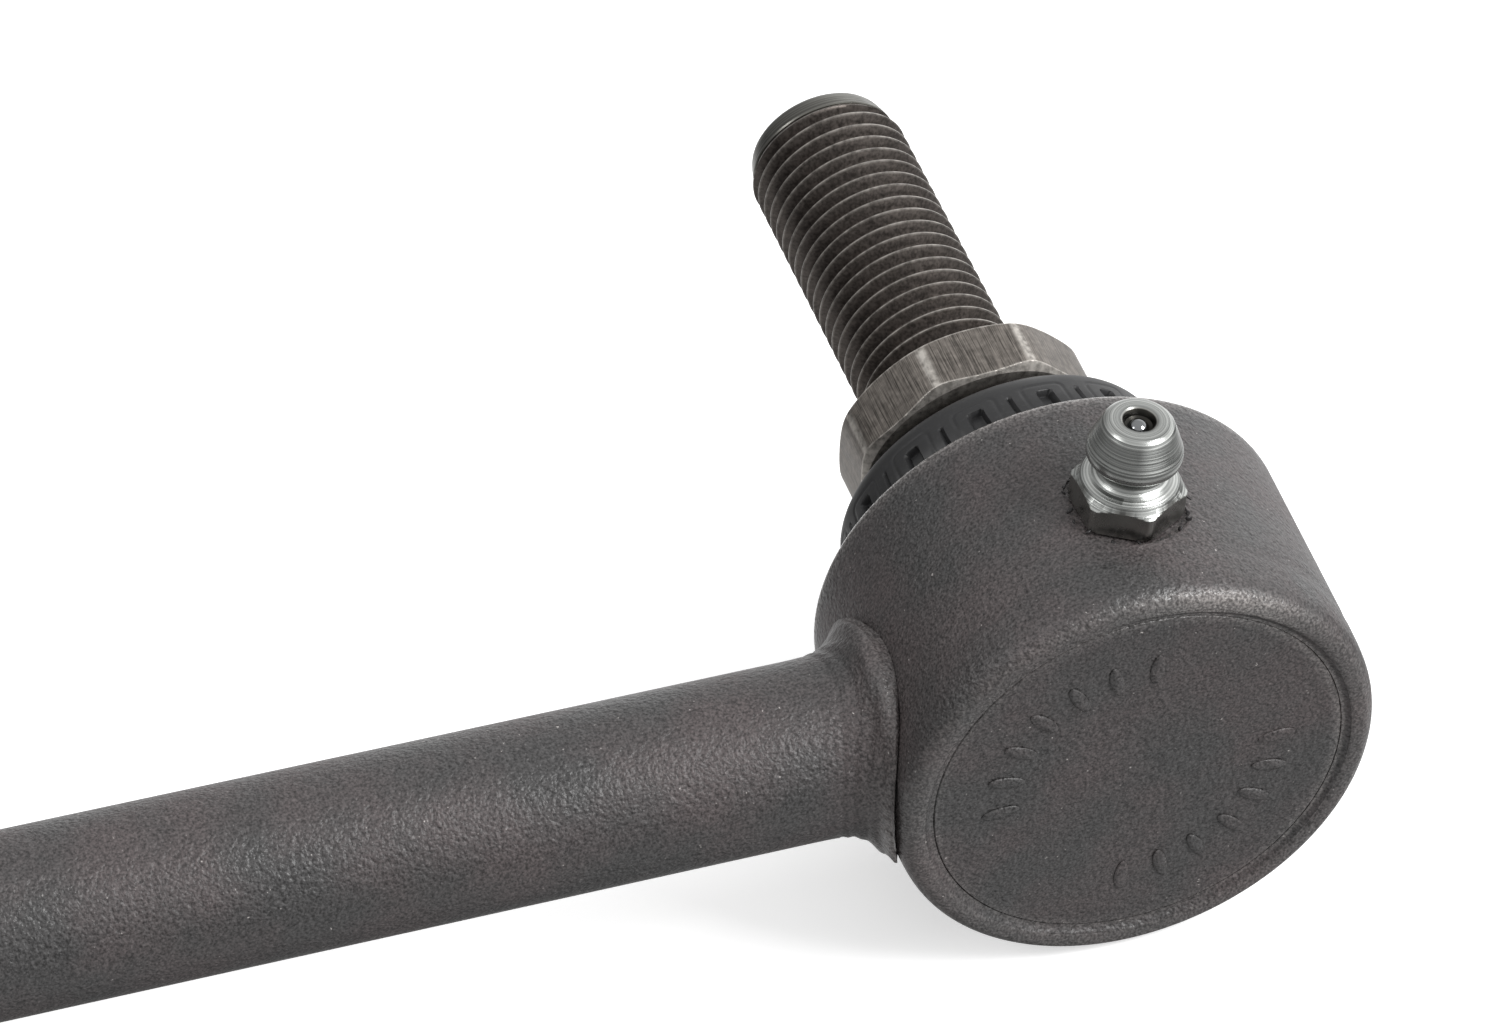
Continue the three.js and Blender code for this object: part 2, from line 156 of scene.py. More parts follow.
Grids = tuple[np.ndarray, np.ndarray, np.ndarray]
Warp = Callable[[np.ndarray, np.ndarray, np.ndarray], Grids]


def arc(centre: tuple[float, float], radius: float, start: float, end: float, steps: int) -> list:
    """Draws an arc.

    Args:
        centre: Its middle, as radius and height.
        radius: Its radius.
        start, end: Angles in degrees from the radial direction towards greater height.
        steps: How many chords it has.

    Returns:
        Its points, as radius and height.
    """
    turns = np.radians(np.linspace(start, end, steps + 1))
    return [(centre[0] + radius * math.cos(t), centre[1] + radius * math.sin(t)) for t in turns]


def refined(profile: Sequence[tuple[float, float]], step: float) -> np.ndarray:
    """Adds points to a profile so that no chord is too long.

    Args:
        profile: Points as radius and height.
        step: The longest chord.

    Returns:
        The old and new points.
    """
    points = [np.array(profile[0], float)]
    for start, end in zip(profile, profile[1:]):
        start, end = np.array(start, float), np.array(end, float)
        count = max(1, math.ceil(float(np.linalg.norm(end - start)) / step))
        points += [start + (end - start) * i / count for i in range(1, count + 1)]
    return np.array(points)


def smoothed(profile: Sequence[tuple[float, float]], rounds: int = 2) -> list[tuple[float, float]]:
    """Rounds an open profile by cutting its corners, and keeps its two ends.

    Args:
        profile: Points as radius and height.
        rounds: How many times each corner is cut.

    Returns:
        The rounded profile.
    """
    points = [np.array(p, float) for p in profile]
    for _ in range(rounds):
        cut = [points[0]]
        for start, end in zip(points, points[1:]):
            cut += [0.75 * start + 0.25 * end, 0.25 * start + 0.75 * end]
        points = cut + [points[-1]]
    return [tuple(p) for p in points]


def turned(
    profile: Sequence[tuple[float, float]] | np.ndarray,
    segments: int,
    edge: Edge = Edge.POLES,
    warp: Optional[Warp] = None,
) -> Shell:
    """Turns a profile about y.

    Args:
        profile: Points as radius and height.
        segments: Facets round the axis.
        edge: How the profile ends.
        warp: Changes the grids of angle, radius and height, and returns radius, height and wear.

    Returns:
        A closed shell. Angle 0 is along z and grows towards x.
    """
    rows = np.array(profile, float)
    if edge is Edge.POLES:
        rows = rows[1:-1]
    angle, radius = np.meshgrid(np.arange(segments) * 2 * math.pi / segments, rows[:, 0])
    height = np.repeat(rows[:, 1:2], segments, axis=1)
    wear = np.zeros_like(radius)
    if warp:
        radius, height, wear = warp(angle, radius, height)
    grid = np.stack([radius * np.sin(angle), height, radius * np.cos(angle)], axis=-1)
    points = grid.reshape(-1, 3)
    count = len(rows)
    last = count if edge is Edge.RING else count - 1
    faces: list[tuple[int, ...]] = []
    for i in range(last):
        low, high = i * segments, ((i + 1) % count) * segments
        for j in range(segments):
            k = (j + 1) % segments
            faces.append((low + j, low + k, high + k, high + j))
    wear = wear.reshape(-1)
    if edge is Edge.POLES:
        foot, head = profile[0][1], profile[-1][1]
        points = np.vstack([points, [[0, foot, 0], [0, head, 0]]])
        wear = np.concatenate([wear, [wear[0], wear[-1]]])
        low, high = count * segments, count * segments + 1
        top = (count - 1) * segments
        for j in range(segments):
            k = (j + 1) % segments
            faces += [(low, k, j), (high, top + j, top + k)]
    return Shell(points, faces, wear)


def finished_mesh(mesh: bpy.types.Mesh, crease: float) -> None:
    """Turns a mesh's faces outwards and shades it smooth.

    Args:
        mesh: The mesh.
        crease: Edges that turn by more than these degrees stay sharp.
    """
    work = bmesh.new()
    work.from_mesh(mesh)
    bmesh.ops.recalc_face_normals(work, faces=work.faces)
    work.to_mesh(mesh)
    work.free()
    mesh.shade_smooth()
    mesh.set_sharp_from_angle(angle=math.radians(crease))


def piece(name: str, shell: Shell, seat: Seat, finish: "Finish", crease: float = 32) -> bpy.types.Object:
    """Makes an object from a shell.

    Args:
        name: The piece's name.
        shell: Its mesh in the seat's frame.
        seat: Where it is.
        finish: What it is dressed in.
        crease: Edges that turn by more than these degrees stay sharp.

    Returns:
        The object, at the origin, in the scene.
    """
    mesh = bpy.data.meshes.new(name)
    mesh.from_pydata(seat.place(shell.points).tolist(), [], shell.faces)
    mesh.attributes.new(WEAR_AND_PAINTED_LIGHT, "FLOAT", "POINT").data.foreach_set("value", shell.wear.astype(np.float32))
    own = mesh.attributes.new(OWN, "FLOAT_VECTOR", "POINT")
    own.data.foreach_set("vector", shell.points.astype(np.float32).ravel())
    finished_mesh(mesh, crease)
    made = bpy.data.objects.new(name, mesh)
    bpy.context.scene.collection.objects.link(made)
    made.data.materials.append(finish.material())
    LOG.info("%s: %d faces in %s", name, len(mesh.polygons), finish.name)
    return made


def cut_from(target: bpy.types.Object, tools: Iterable[bpy.types.Object]) -> None:
    """Cuts tools out of a piece, and removes them.

    Args:
        target: The piece.
        tools: Closed objects that overlap it.
    """
    for tool in tools:
        cutter = target.modifiers.new("cut", "BOOLEAN")
        cutter.operation = "DIFFERENCE"
        cutter.solver = "EXACT"
        cutter.object = tool
        plain(target)
        bpy.data.objects.remove(tool)


def plain(target: bpy.types.Object) -> None:
    """Replaces a piece's mesh by the one its modifiers give, and removes them.

    Args:
        target: The piece.
    """
    bpy.context.view_layer.update()
    seen = target.evaluated_get(bpy.context.evaluated_depsgraph_get())
    mesh = bpy.data.meshes.new_from_object(seen)
    mesh.name = target.name
    target.modifiers.clear()
    target.data = mesh


def smooth_step(value: np.ndarray, low: float, high: float) -> np.ndarray:
    """Rises smoothly from 0 to 1.

    Args:
        value: Where it is read.
        low, high: Where the rise starts and ends.

    Returns:
        0 below low, 1 above high, and the rise between them.
    """
    t = np.clip((value - low) / (high - low), 0, 1)
    return t * t * (3 - 2 * t)


def rounded_box(x: np.ndarray, y: np.ndarray, half: tuple[float, float], corner: float) -> np.ndarray:
    """Measures from a rounded rectangle round the origin.

    Args:
        x, y: The places that it measures from.
        half: Half the rectangle's width and height.
        corner: The radius of its corners.

    Returns:
        Each place's distance from its outline, negative inside.
    """
    over_x, over_y = np.abs(x) - half[0] + corner, np.abs(y) - half[1] + corner
    outside = np.hypot(np.maximum(over_x, 0), np.maximum(over_y, 0))
    return outside + np.minimum(np.maximum(over_x, over_y), 0) - corner


# ---- Nodes ---------------------------------------------------------------------------------------


def add_node(
    tree: bpy.types.NodeTree, kind: str, *inputs: object, out: int = 0, **settings: object
) -> bpy.types.NodeSocket | bpy.types.Node:
    """Adds a node to a shader or geometry tree.

    Args:
        tree: The tree.
        kind: The node's type.
        inputs: A value or a socket for each usable input in turn, or None to leave one alone.
        out: Which usable output to return.
        settings: The node's own properties in lower case; a capitalised name is an input socket.

    Returns:
        The chosen output socket, or the node if it has no outputs.
    """
    node = tree.nodes.new(kind)
    for name, value in settings.items():
        if name[0].islower():
            setattr(node, name, value)
    usable = [socket for socket in node.inputs if socket.enabled]
    named = {name.replace("_", " "): v for name, v in settings.items() if name[0].isupper()}
    pairs = list(zip(usable, inputs)) + [(s, named[s.name]) for s in usable if s.name in named]
    for socket, value in pairs:
        if isinstance(value, bpy.types.NodeSocket):
            tree.links.new(value, socket)
        elif value is not None:
            socket.default_value = value
    outputs = [socket for socket in node.outputs if socket.enabled]
    return outputs[out] if outputs else node


def linear(code: str) -> tuple[float, float, float, float]:
    """Turns an sRGB colour to linear.

    Args:
        code: The colour, as # and six hex digits.

    Returns:
        Linear red, green and blue, and an alpha of 1.
    """
    parts = [int(code[i : i + 2], 16) / 255 for i in (1, 3, 5)]
    bent = [p / 12.92 if p <= 0.04045 else ((p + 0.055) / 1.055) ** 2.4 for p in parts]
    return (*bent, 1.0)


# ---- Finishes ------------------------------------------------------------------------------------


@dataclass(frozen=True)
class Finish:
    """A surface finish. A subclass adds its nodes in dress()."""

    name: str
    colour: str
    roughness: float
    metallic: float = 0.0

    def material(self) -> bpy.types.Material:
        """Returns the finish's material, made the first time it is asked for."""
        made = bpy.data.materials.get(self.name)
        if made:
            return made
        made = bpy.data.materials.new(self.name)
        made.use_nodes = True
        tree = made.node_tree
        shader = tree.nodes["Principled BSDF"]
        shader.inputs["Base Color"].default_value = linear(self.colour)
        shader.inputs["Roughness"].default_value = self.roughness
        shader.inputs["Metallic"].default_value = self.metallic
        self.dress(tree, shader)
        return made

    def dress(self, tree: bpy.types.NodeTree, shader: bpy.types.Node) -> None:
        """Adds the finish's pattern to its tree."""
        raise NotImplementedError


@dataclass(frozen=True)
class CoatedForging(Finish):
    """Satin paint baked on forged steel: a dark warm grey with orange peel, grit and a few pale specks."""

    warm: str = "#484242"  # where the coat is thin
    dust_and_highlight: str = "#b4afac"  # dust and bare grains, and the pale colour of the highlights and glints painted through the wear attribute
    peel: float = 0.42  # width of one dimple of the orange peel
    grit: float = 0.19  # grain of the blasted steel under the coat, drawn a little coarse so that it shows
    blotch: float = 7.0  # width of a patch of thin coat
    peel_depth: float = 0.15
    grit_depth: float = 0.048

    def dress(self, tree: bpy.types.NodeTree, shader: bpy.types.Node) -> None:
        """Blotches and specks colour it; the peel and the grit roughen it."""
        place = add_node(tree, "ShaderNodeTexCoord", out=3)
        blotch = add_node(tree, "ShaderNodeTexNoise", place, Scale=1 / (self.blotch * MM), Detail=4.0)
        patch = add_node(tree, "ShaderNodeMapRange", blotch, 0.38, 0.64)
        grit = add_node(tree, "ShaderNodeTexNoise", place, Scale=1 / (self.grit * MM), Detail=2.0)
        grain = add_node(tree, "ShaderNodeMapRange", grit, 0.3, 0.7, 0.4, 1.75)
        fine = add_node(tree, "ShaderNodeTexNoise", place, Scale=1 / (2.0 * self.grit * MM), Detail=3.0)
        dust = add_node(tree, "ShaderNodeMapRange", fine, 0.735, 0.77)
        coat = add_node(
            tree, "ShaderNodeMix", patch, linear(self.colour), linear(self.warm), data_type="RGBA"
        )
        # The wear attribute pales the coat towards the dust colour and glosses it: rubbed paint by the bar's
        # weld, and painted highlights and glints on the housing's lip, rim and seam and on the cover's edge.
        worn = add_node(tree, "ShaderNodeAttribute", attribute_name=WEAR_AND_PAINTED_LIGHT, out=2)
        rub = add_node(tree, "ShaderNodeMapRange", grit, 0.42, 0.66, 0.3, 1.0)
        rubbed = add_node(tree, "ShaderNodeMath", worn, rub, operation="MULTIPLY")
        pale = add_node(tree, "ShaderNodeMath", rubbed, dust, operation="MAXIMUM")
        grained = add_node(
            tree, "ShaderNodeMix", 1.0, coat, grain, data_type="RGBA", blend_type="MULTIPLY"
        )
        colour = add_node(tree, "ShaderNodeMix", pale, grained, linear(self.dust_and_highlight), data_type="RGBA")
        tree.links.new(colour, shader.inputs["Base Color"])
        rough = add_node(
            tree, "ShaderNodeMapRange", blotch, 0.3, 0.7, self.roughness - 0.05, self.roughness + 0.07
        )
        rubbed_gloss = add_node(tree, "ShaderNodeMath", worn, 0.4, operation="MULTIPLY")
        satin = add_node(tree, "ShaderNodeMath", rough, rubbed_gloss, operation="SUBTRACT", use_clamp=True)
        tree.links.new(satin, shader.inputs["Roughness"])
        peel = add_node(tree, "ShaderNodeTexNoise", place, Scale=1 / (self.peel * MM), Detail=1.5)
        low = add_node(tree, "ShaderNodeBump", 1.0, self.peel_depth * MM, Height=peel)
        high = add_node(tree, "ShaderNodeBump", 1.0, self.grit_depth * MM, Height=grit, Normal=low)
        tree.links.new(high, shader.inputs["Normal"])


@dataclass(frozen=True)
class MouldedRubber(Finish):
    """Moulded black chloroprene: near black, softly glossy, faintly uneven, with a little dust."""

    dusty: str = "#3a3a3b"
    flow: float = 3.5  # width of the moulding's flow marks
    skin: float = 0.3  # grain of the mould

    def dress(self, tree: bpy.types.NodeTree, shader: bpy.types.Node) -> None:
        """Flow marks vary the gloss, and dust greys it in places."""
        place = add_node(tree, "ShaderNodeTexCoord", out=3)
        flow = add_node(tree, "ShaderNodeTexNoise", place, Scale=1 / (self.flow * MM), Detail=4.0)
        skin = add_node(tree, "ShaderNodeTexNoise", place, Scale=1 / (self.skin * MM), Detail=2.0)
        dust = add_node(tree, "ShaderNodeMapRange", skin, 0.55, 0.85, 0.0, 0.5)
        colour = add_node(
            tree, "ShaderNodeMix", dust, linear(self.colour), linear(self.dusty), data_type="RGBA"
        )
        tree.links.new(colour, shader.inputs["Base Color"])
        rough = add_node(
            tree, "ShaderNodeMapRange", flow, 0.3, 0.7, self.roughness - 0.06, self.roughness + 0.08
        )
        tree.links.new(rough, shader.inputs["Roughness"])
        bump = add_node(tree, "ShaderNodeBump", 1.0, 0.004 * MM, Height=skin)
        tree.links.new(bump, shader.inputs["Normal"])


@dataclass(frozen=True)
class WornSteel(Finish):
    """Steel that was worked along or round one axis: dark oxide in the hollows, bright metal where rubbed.

    Args:
        bare: The metal's colour where the oxide is gone.
        drawn: How long a tool mark is along the axis, in millimetres.
        width: How wide a tool mark is.
        mark: How dark the marks are, 0 to 1.
        depth: How deep they are, in millimetres.
    """

    bare: str = "#a8a29b"
    drawn: float = 4.0
    width: float = 0.12
    mark: float = 0.5
    depth: float = 0.006

    def dress(self, tree: bpy.types.NodeTree, shader: bpy.types.Node) -> None:
        """Stretched noise gives the tool marks; the wear attribute, broken by noise, bares the metal."""
        own = add_node(tree, "ShaderNodeAttribute", attribute_name=OWN, out=1)
        scale = (1 / self.width, 1 / self.drawn, 1 / self.width)
        drawn = add_node(tree, "ShaderNodeMapping", own, Scale=scale)
        marks = add_node(tree, "ShaderNodeTexNoise", drawn, Scale=1.0, Detail=3.0)
        spots = add_node(tree, "ShaderNodeTexNoise", own, Scale=1 / 0.5, Detail=4.0)
        dark = add_node(tree, "ShaderNodeMapRange", marks, 0.35, 0.6, 1.0 - self.mark, 1.15)
        stain = add_node(tree, "ShaderNodeMapRange", spots, 0.3, 0.7, 0.72, 1.2)
        shade = add_node(tree, "ShaderNodeMath", dark, stain, operation="MULTIPLY")
        tone = add_node(
            tree,
            "ShaderNodeMix",
            1.0,
            linear(self.colour),
            shade,
            data_type="RGBA",
            blend_type="MULTIPLY",
        )
        worn = add_node(tree, "ShaderNodeAttribute", attribute_name=WEAR_AND_PAINTED_LIGHT, out=2)
        patchy = add_node(tree, "ShaderNodeMapRange", spots, 0.32, 0.62, 0.25, 1.0)
        bared = add_node(tree, "ShaderNodeMath", worn, patchy, operation="MULTIPLY")
        colour = add_node(tree, "ShaderNodeMix", bared, tone, linear(self.bare), data_type="RGBA")
        tree.links.new(colour, shader.inputs["Base Color"])
        rough = add_node(
            tree, "ShaderNodeMapRange", marks, 0.3, 0.7, self.roughness - 0.08, self.roughness + 0.12
        )
        tree.links.new(rough, shader.inputs["Roughness"])
        bump = add_node(tree, "ShaderNodeBump", 1.0, self.depth * MM, Height=marks)
        tree.links.new(bump, shader.inputs["Normal"])


@dataclass(frozen=True)
class TurnedMetal(Finish):
    """Metal turned on a lathe, bright or plated: fine rings round its axis catch the light.

    The wear attribute is 1 on flats, which were never turned and have no rings, and 2 in a recess, where
    shade is painted in the grease colour.

    Args:
        shade: The colour in the rings' hollows.
        dull: The colour of the flats.
        grease: The dark colour painted into a recess as shade.
        feed: The distance between rings, in millimetres.
        depth: How deep a ring is, in millimetres.
    """

    shade: str = "#7b7d7c"
    dull: str = "#a3a39f"
    # a dark colour painted as shade into the grease fitting's mouth
    grease: str = "#3a3936"
    feed: float = 0.16
    depth: float = 0.012

    def dress(self, tree: bpy.types.NodeTree, shader: bpy.types.Node) -> None:
        """Rings follow height and radius together, so that they show on walls, cones and end faces."""
        own = add_node(tree, "ShaderNodeAttribute", attribute_name=OWN, out=1)
        split = add_node(tree, "ShaderNodeSeparateXYZ", own, out=0).node
        flat = add_node(tree, "ShaderNodeCombineXYZ", split.outputs["X"], 0.0, split.outputs["Z"])
        radius = add_node(tree, "ShaderNodeVectorMath", flat, operation="LENGTH", out=0)
        path = add_node(tree, "ShaderNodeMath", split.outputs["Y"], radius, operation="SUBTRACT")
        turns = add_node(tree, "ShaderNodeMath", path, 1 / self.feed, operation="MULTIPLY")
        rings = add_node(
            tree, "ShaderNodeTexNoise", W=turns, Scale=1.0, Detail=2.0, noise_dimensions="1D"
        )
        smudge = add_node(tree, "ShaderNodeTexNoise", own, Scale=1 / 1.6, Detail=3.0)
        flats = add_node(tree, "ShaderNodeAttribute", attribute_name=WEAR_AND_PAINTED_LIGHT, out=2)
        turned_part = add_node(tree, "ShaderNodeMath", 1.0, flats, operation="SUBTRACT")
        ridge = add_node(tree, "ShaderNodeMath", rings, turned_part, operation="MULTIPLY")
        mixed = add_node(tree, "ShaderNodeMapRange", rings, 0.35, 0.65)
        bright = add_node(
            tree, "ShaderNodeMix", mixed, linear(self.shade), linear(self.colour), data_type="RGBA"
        )
        colour = add_node(tree, "ShaderNodeMix", flats, bright, linear(self.dull), data_type="RGBA")
        # painted shade: a wear of 2 darkens a recess to the grease colour
        painted_recess_shade = add_node(tree, "ShaderNodeMapRange", flats, 1.0, 2.0)
        colour = add_node(tree, "ShaderNodeMix", painted_recess_shade, colour, linear(self.grease), data_type="RGBA")
        tree.links.new(colour, shader.inputs["Base Color"])
        rough = add_node(
            tree, "ShaderNodeMapRange", smudge, 0.3, 0.7, self.roughness - 0.06, self.roughness + 0.1
        )
        tree.links.new(rough, shader.inputs["Roughness"])
        bump = add_node(tree, "ShaderNodeBump", 1.0, self.depth * MM, Height=ridge)
        tree.links.new(bump, shader.inputs["Normal"])


@dataclass(frozen=True)
class PlainMetal(Finish):
    """Smooth metal on an inner piece, with a thin uneven film of oil or grease that varies its gloss."""

    film: float = 1.5  # width of a patch of the film

    def dress(self, tree: bpy.types.NodeTree, shader: bpy.types.Node) -> None:
        """Patches of film change the colour slightly and the gloss clearly."""
        place = add_node(tree, "ShaderNodeTexCoord", out=3)
        film = add_node(tree, "ShaderNodeTexNoise", place, Scale=1 / (self.film * MM), Detail=4.0)
        tint = add_node(tree, "ShaderNodeMapRange", film, 0.3, 0.7, 0.8, 1.1)
        colour = add_node(
            tree,
            "ShaderNodeMix",
            1.0,
            linear(self.colour),
            tint,
            data_type="RGBA",
            blend_type="MULTIPLY",
        )
        tree.links.new(colour, shader.inputs["Base Color"])
        rough = add_node(
            tree, "ShaderNodeMapRange", film, 0.3, 0.7, self.roughness * 0.8, self.roughness * 1.3
        )
        tree.links.new(rough, shader.inputs["Roughness"])


@dataclass(frozen=True)
class LightTable(Finish):
    """Matt white acrylic lit from below: an even white that swallows most of the shadow."""

    glow: float = 0.5

    def dress(self, tree: bpy.types.NodeTree, shader: bpy.types.Node) -> None:
        """Faint clouding breaks the even white."""
        place = add_node(tree, "ShaderNodeTexCoord", out=3)
        fibre = add_node(tree, "ShaderNodeTexNoise", place, Scale=40.0, Detail=3.0)
        shader.inputs["Emission Color"].default_value = linear("#ffffff")
        shader.inputs["Emission Strength"].default_value = self.glow
        tint = add_node(tree, "ShaderNodeMapRange", fibre, 0.3, 0.7, 0.985, 1.0)
        colour = add_node(
            tree,
            "ShaderNodeMix",
            1.0,
            linear(self.colour),
            tint,
            data_type="RGBA",
            blend_type="MULTIPLY",
        )
        tree.links.new(colour, shader.inputs["Base Color"])


COATED = CoatedForging("satin_coated_forged_steel", "#3d3c3c", 0.41)
RUBBER = MouldedRubber("moulded_chloroprene_rubber", "#262627", 0.48)
THREAD = WornSteel(
    "black_oxide_rolled_thread", "#5b5551", 0.38, 0.8, bare="#b9b4ae", drawn=1.6, width=0.2, mark=0.3
)
COLLAR = WornSteel(
    "drawn_hexagon_bar_steel", "#817b75", 0.4, 0.85, bare="#d6d1ca", drawn=3.0, width=0.08, mark=0.6
)
TIP = TurnedMetal("turned_bright_steel", "#7e7d78", 0.3, 1.0, shade="#5c5b57", feed=0.3, depth=0.02)
SOCKET = PlainMetal("sintered_bearing_steel", "#75767a", 0.42, 0.9)
SPRING = PlainMetal("oil_hardened_spring_steel", "#4c4e53", 0.36, 0.9)
RING = PlainMetal("black_oxide_spring_wire", "#2b2b2d", 0.4, 0.7)
ZINC = TurnedMetal("clear_zinc_plate", "#c6c8c5", 0.26, 1.0, shade="#8f918f", feed=0.24, depth=0.02)
BALL = PlainMetal("polished_bearing_ball", "#8c8e90", 0.1, 1.0)
CHIP = PlainMetal("chipped_coating", "#2a2829", 0.34, 0.2, film=0.4)
TABLE = LightTable("opal_acrylic", "#f4f4f4", 0.9)


# ---- Bar -----------------------------------------------------------------------------------------


@dataclass
class LinkBar:
    """The round bar, upset to a short trumpet at each end and welded to the housings."""

    seam: float = 0.12  # gap to the housing wall
    flare_start: float = 20.4  # from the housing axis
    flare_end: float = 16.2
    flare_radius: float = 8.3
    flash: float = 0.5  # weld flash past the flare, on the lower stud-less side
    ring_pitch: float = 0.8  # of the shallow rings that the upsetting leaves by the weld
    ring_depth: float = 0.05
    ring_run: float = 3.2  # how far the rings reach from the weld
    edge_round: float = 0.16
    bore: float = 3.0  # nothing of the CAD bar but its end caps' middles is nearer to its axis
    segments: int = 320

    def build(self) -> None:
        """Builds the bar between the two housings and lets it ride on the link."""
        low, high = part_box("link_bar")
        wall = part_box("housing_a")
        half = (wall[0].x + wall[1].x) / 2 / MM
        housing = (wall[1].z - wall[0].z) / 2 / MM
        radius = self.bar_radius()
        middle = Vector((0, 0, (low.z + high.z) / 2))
        seat = Seat(middle, Vector((0, -1, 0)), Vector((1, 0, 0)), Vector((0, 0, 1)))
        reach = half - self.flare_end
        start = half - self.flare_start
        bend = smoothed(
            [
                (radius, start - 3),
                (radius, start),
                (radius + 0.12, start + 1.4),
                (radius + 0.75, start + 2.6),
                (self.flare_radius - 0.12, reach - 0.75),
                (self.flare_radius, reach - 0.25),
                (self.flare_radius - 0.06, reach + 0.25),
            ],
            2,
        )
        bend = refined(bend, 0.22).tolist()
        inner = [(self.flare_radius - 0.1, reach + 2.4)]
        plain_run = [(radius, x) for x in np.linspace(-start + 4, start - 4, 60)]
        right = plain_run + [tuple(p) for p in bend] + inner
        left = [(r, -x) for r, x in ([tuple(p) for p in bend] + inner)][::-1]
        profile = [(0, left[0][1])] + left + right + [(0, right[-1][1])]
        wave = np.random.default_rng(11)
        teeth = wave.random(self.segments)
        teeth = 0.5 * teeth + 0.25 * (np.roll(teeth, 1) + np.roll(teeth, -1))

        def weld(angle: np.ndarray, r: np.ndarray, h: np.ndarray) -> Grids:
            """Ends the bar on the housing wall, with flash and shallow rings by the edge.

            Args:
                angle, r, h: Grids of angle, radius and height.

            Returns:
                Grids of radius, height and wear.
            """
            z = r * np.cos(angle)
            limit = half - np.sqrt((housing + self.seam) ** 2 - z**2)
            depth = limit - np.abs(h)
            front = np.sin(angle) > -0.2
            sector = np.clip(0.35 - np.cos(angle), 0, 1) * front
            edge = 1 - smooth_step(depth, 0.05, 0.75)
            ragged = teeth[np.round(angle / (2 * math.pi) * self.segments).astype(int) % self.segments]
            swell = edge * sector * self.flash * (0.2 + 1.5 * ragged)
            turns = np.clip(depth, 0, self.ring_run) / self.ring_pitch * 2 * math.pi
            rings = self.ring_depth * np.sin(turns) * (depth < self.ring_run) * (depth > 0)
            lip = self.edge_round * (1 - smooth_step(depth, 0.0, 0.28))
            grown = r + swell + rings - lip * (1 - sector)
            ended = np.sign(h) * np.minimum(np.abs(h), limit)
            wear = 0.1 * (1 - smooth_step(depth, 0.2, 2.6)) + 0.3 * edge * sector
            return grown, ended, wear

        shell = turned(profile, self.segments, warp=weld)
        bar = piece("bar_welded_round", shell, seat, COATED, 40)
        merge_slivers(bar)
        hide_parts("link_bar")
        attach(bar, "link")

    def bar_radius(self) -> float:
        """Returns the bar's radius in millimetres, from the CAD bar's middle."""
        node = frame["nodes"]["link_bar"]
        rows = [v.co for v in node.data.vertices]
        middle = sum(v.z for v in rows) / len(rows)
        inside = [math.hypot(v.y, v.z - middle) for v in rows]
        return min(r for r in inside if r > self.bore * MM) / MM


def merge_slivers(target: bpy.types.Object) -> None:
    """Merges points that lie on each other, and removes faces without area.

    Args:
        target: The piece.
    """
    work = bmesh.new()
    work.from_mesh(target.data)
    bmesh.ops.remove_doubles(work, verts=work.verts, dist=0.002 * MM)
    bmesh.ops.dissolve_degenerate(work, edges=work.edges, dist=0.001 * MM)
    work.to_mesh(target.data)
    work.free()


# ---- Housing and cover ---------------------------------------------------------------------------


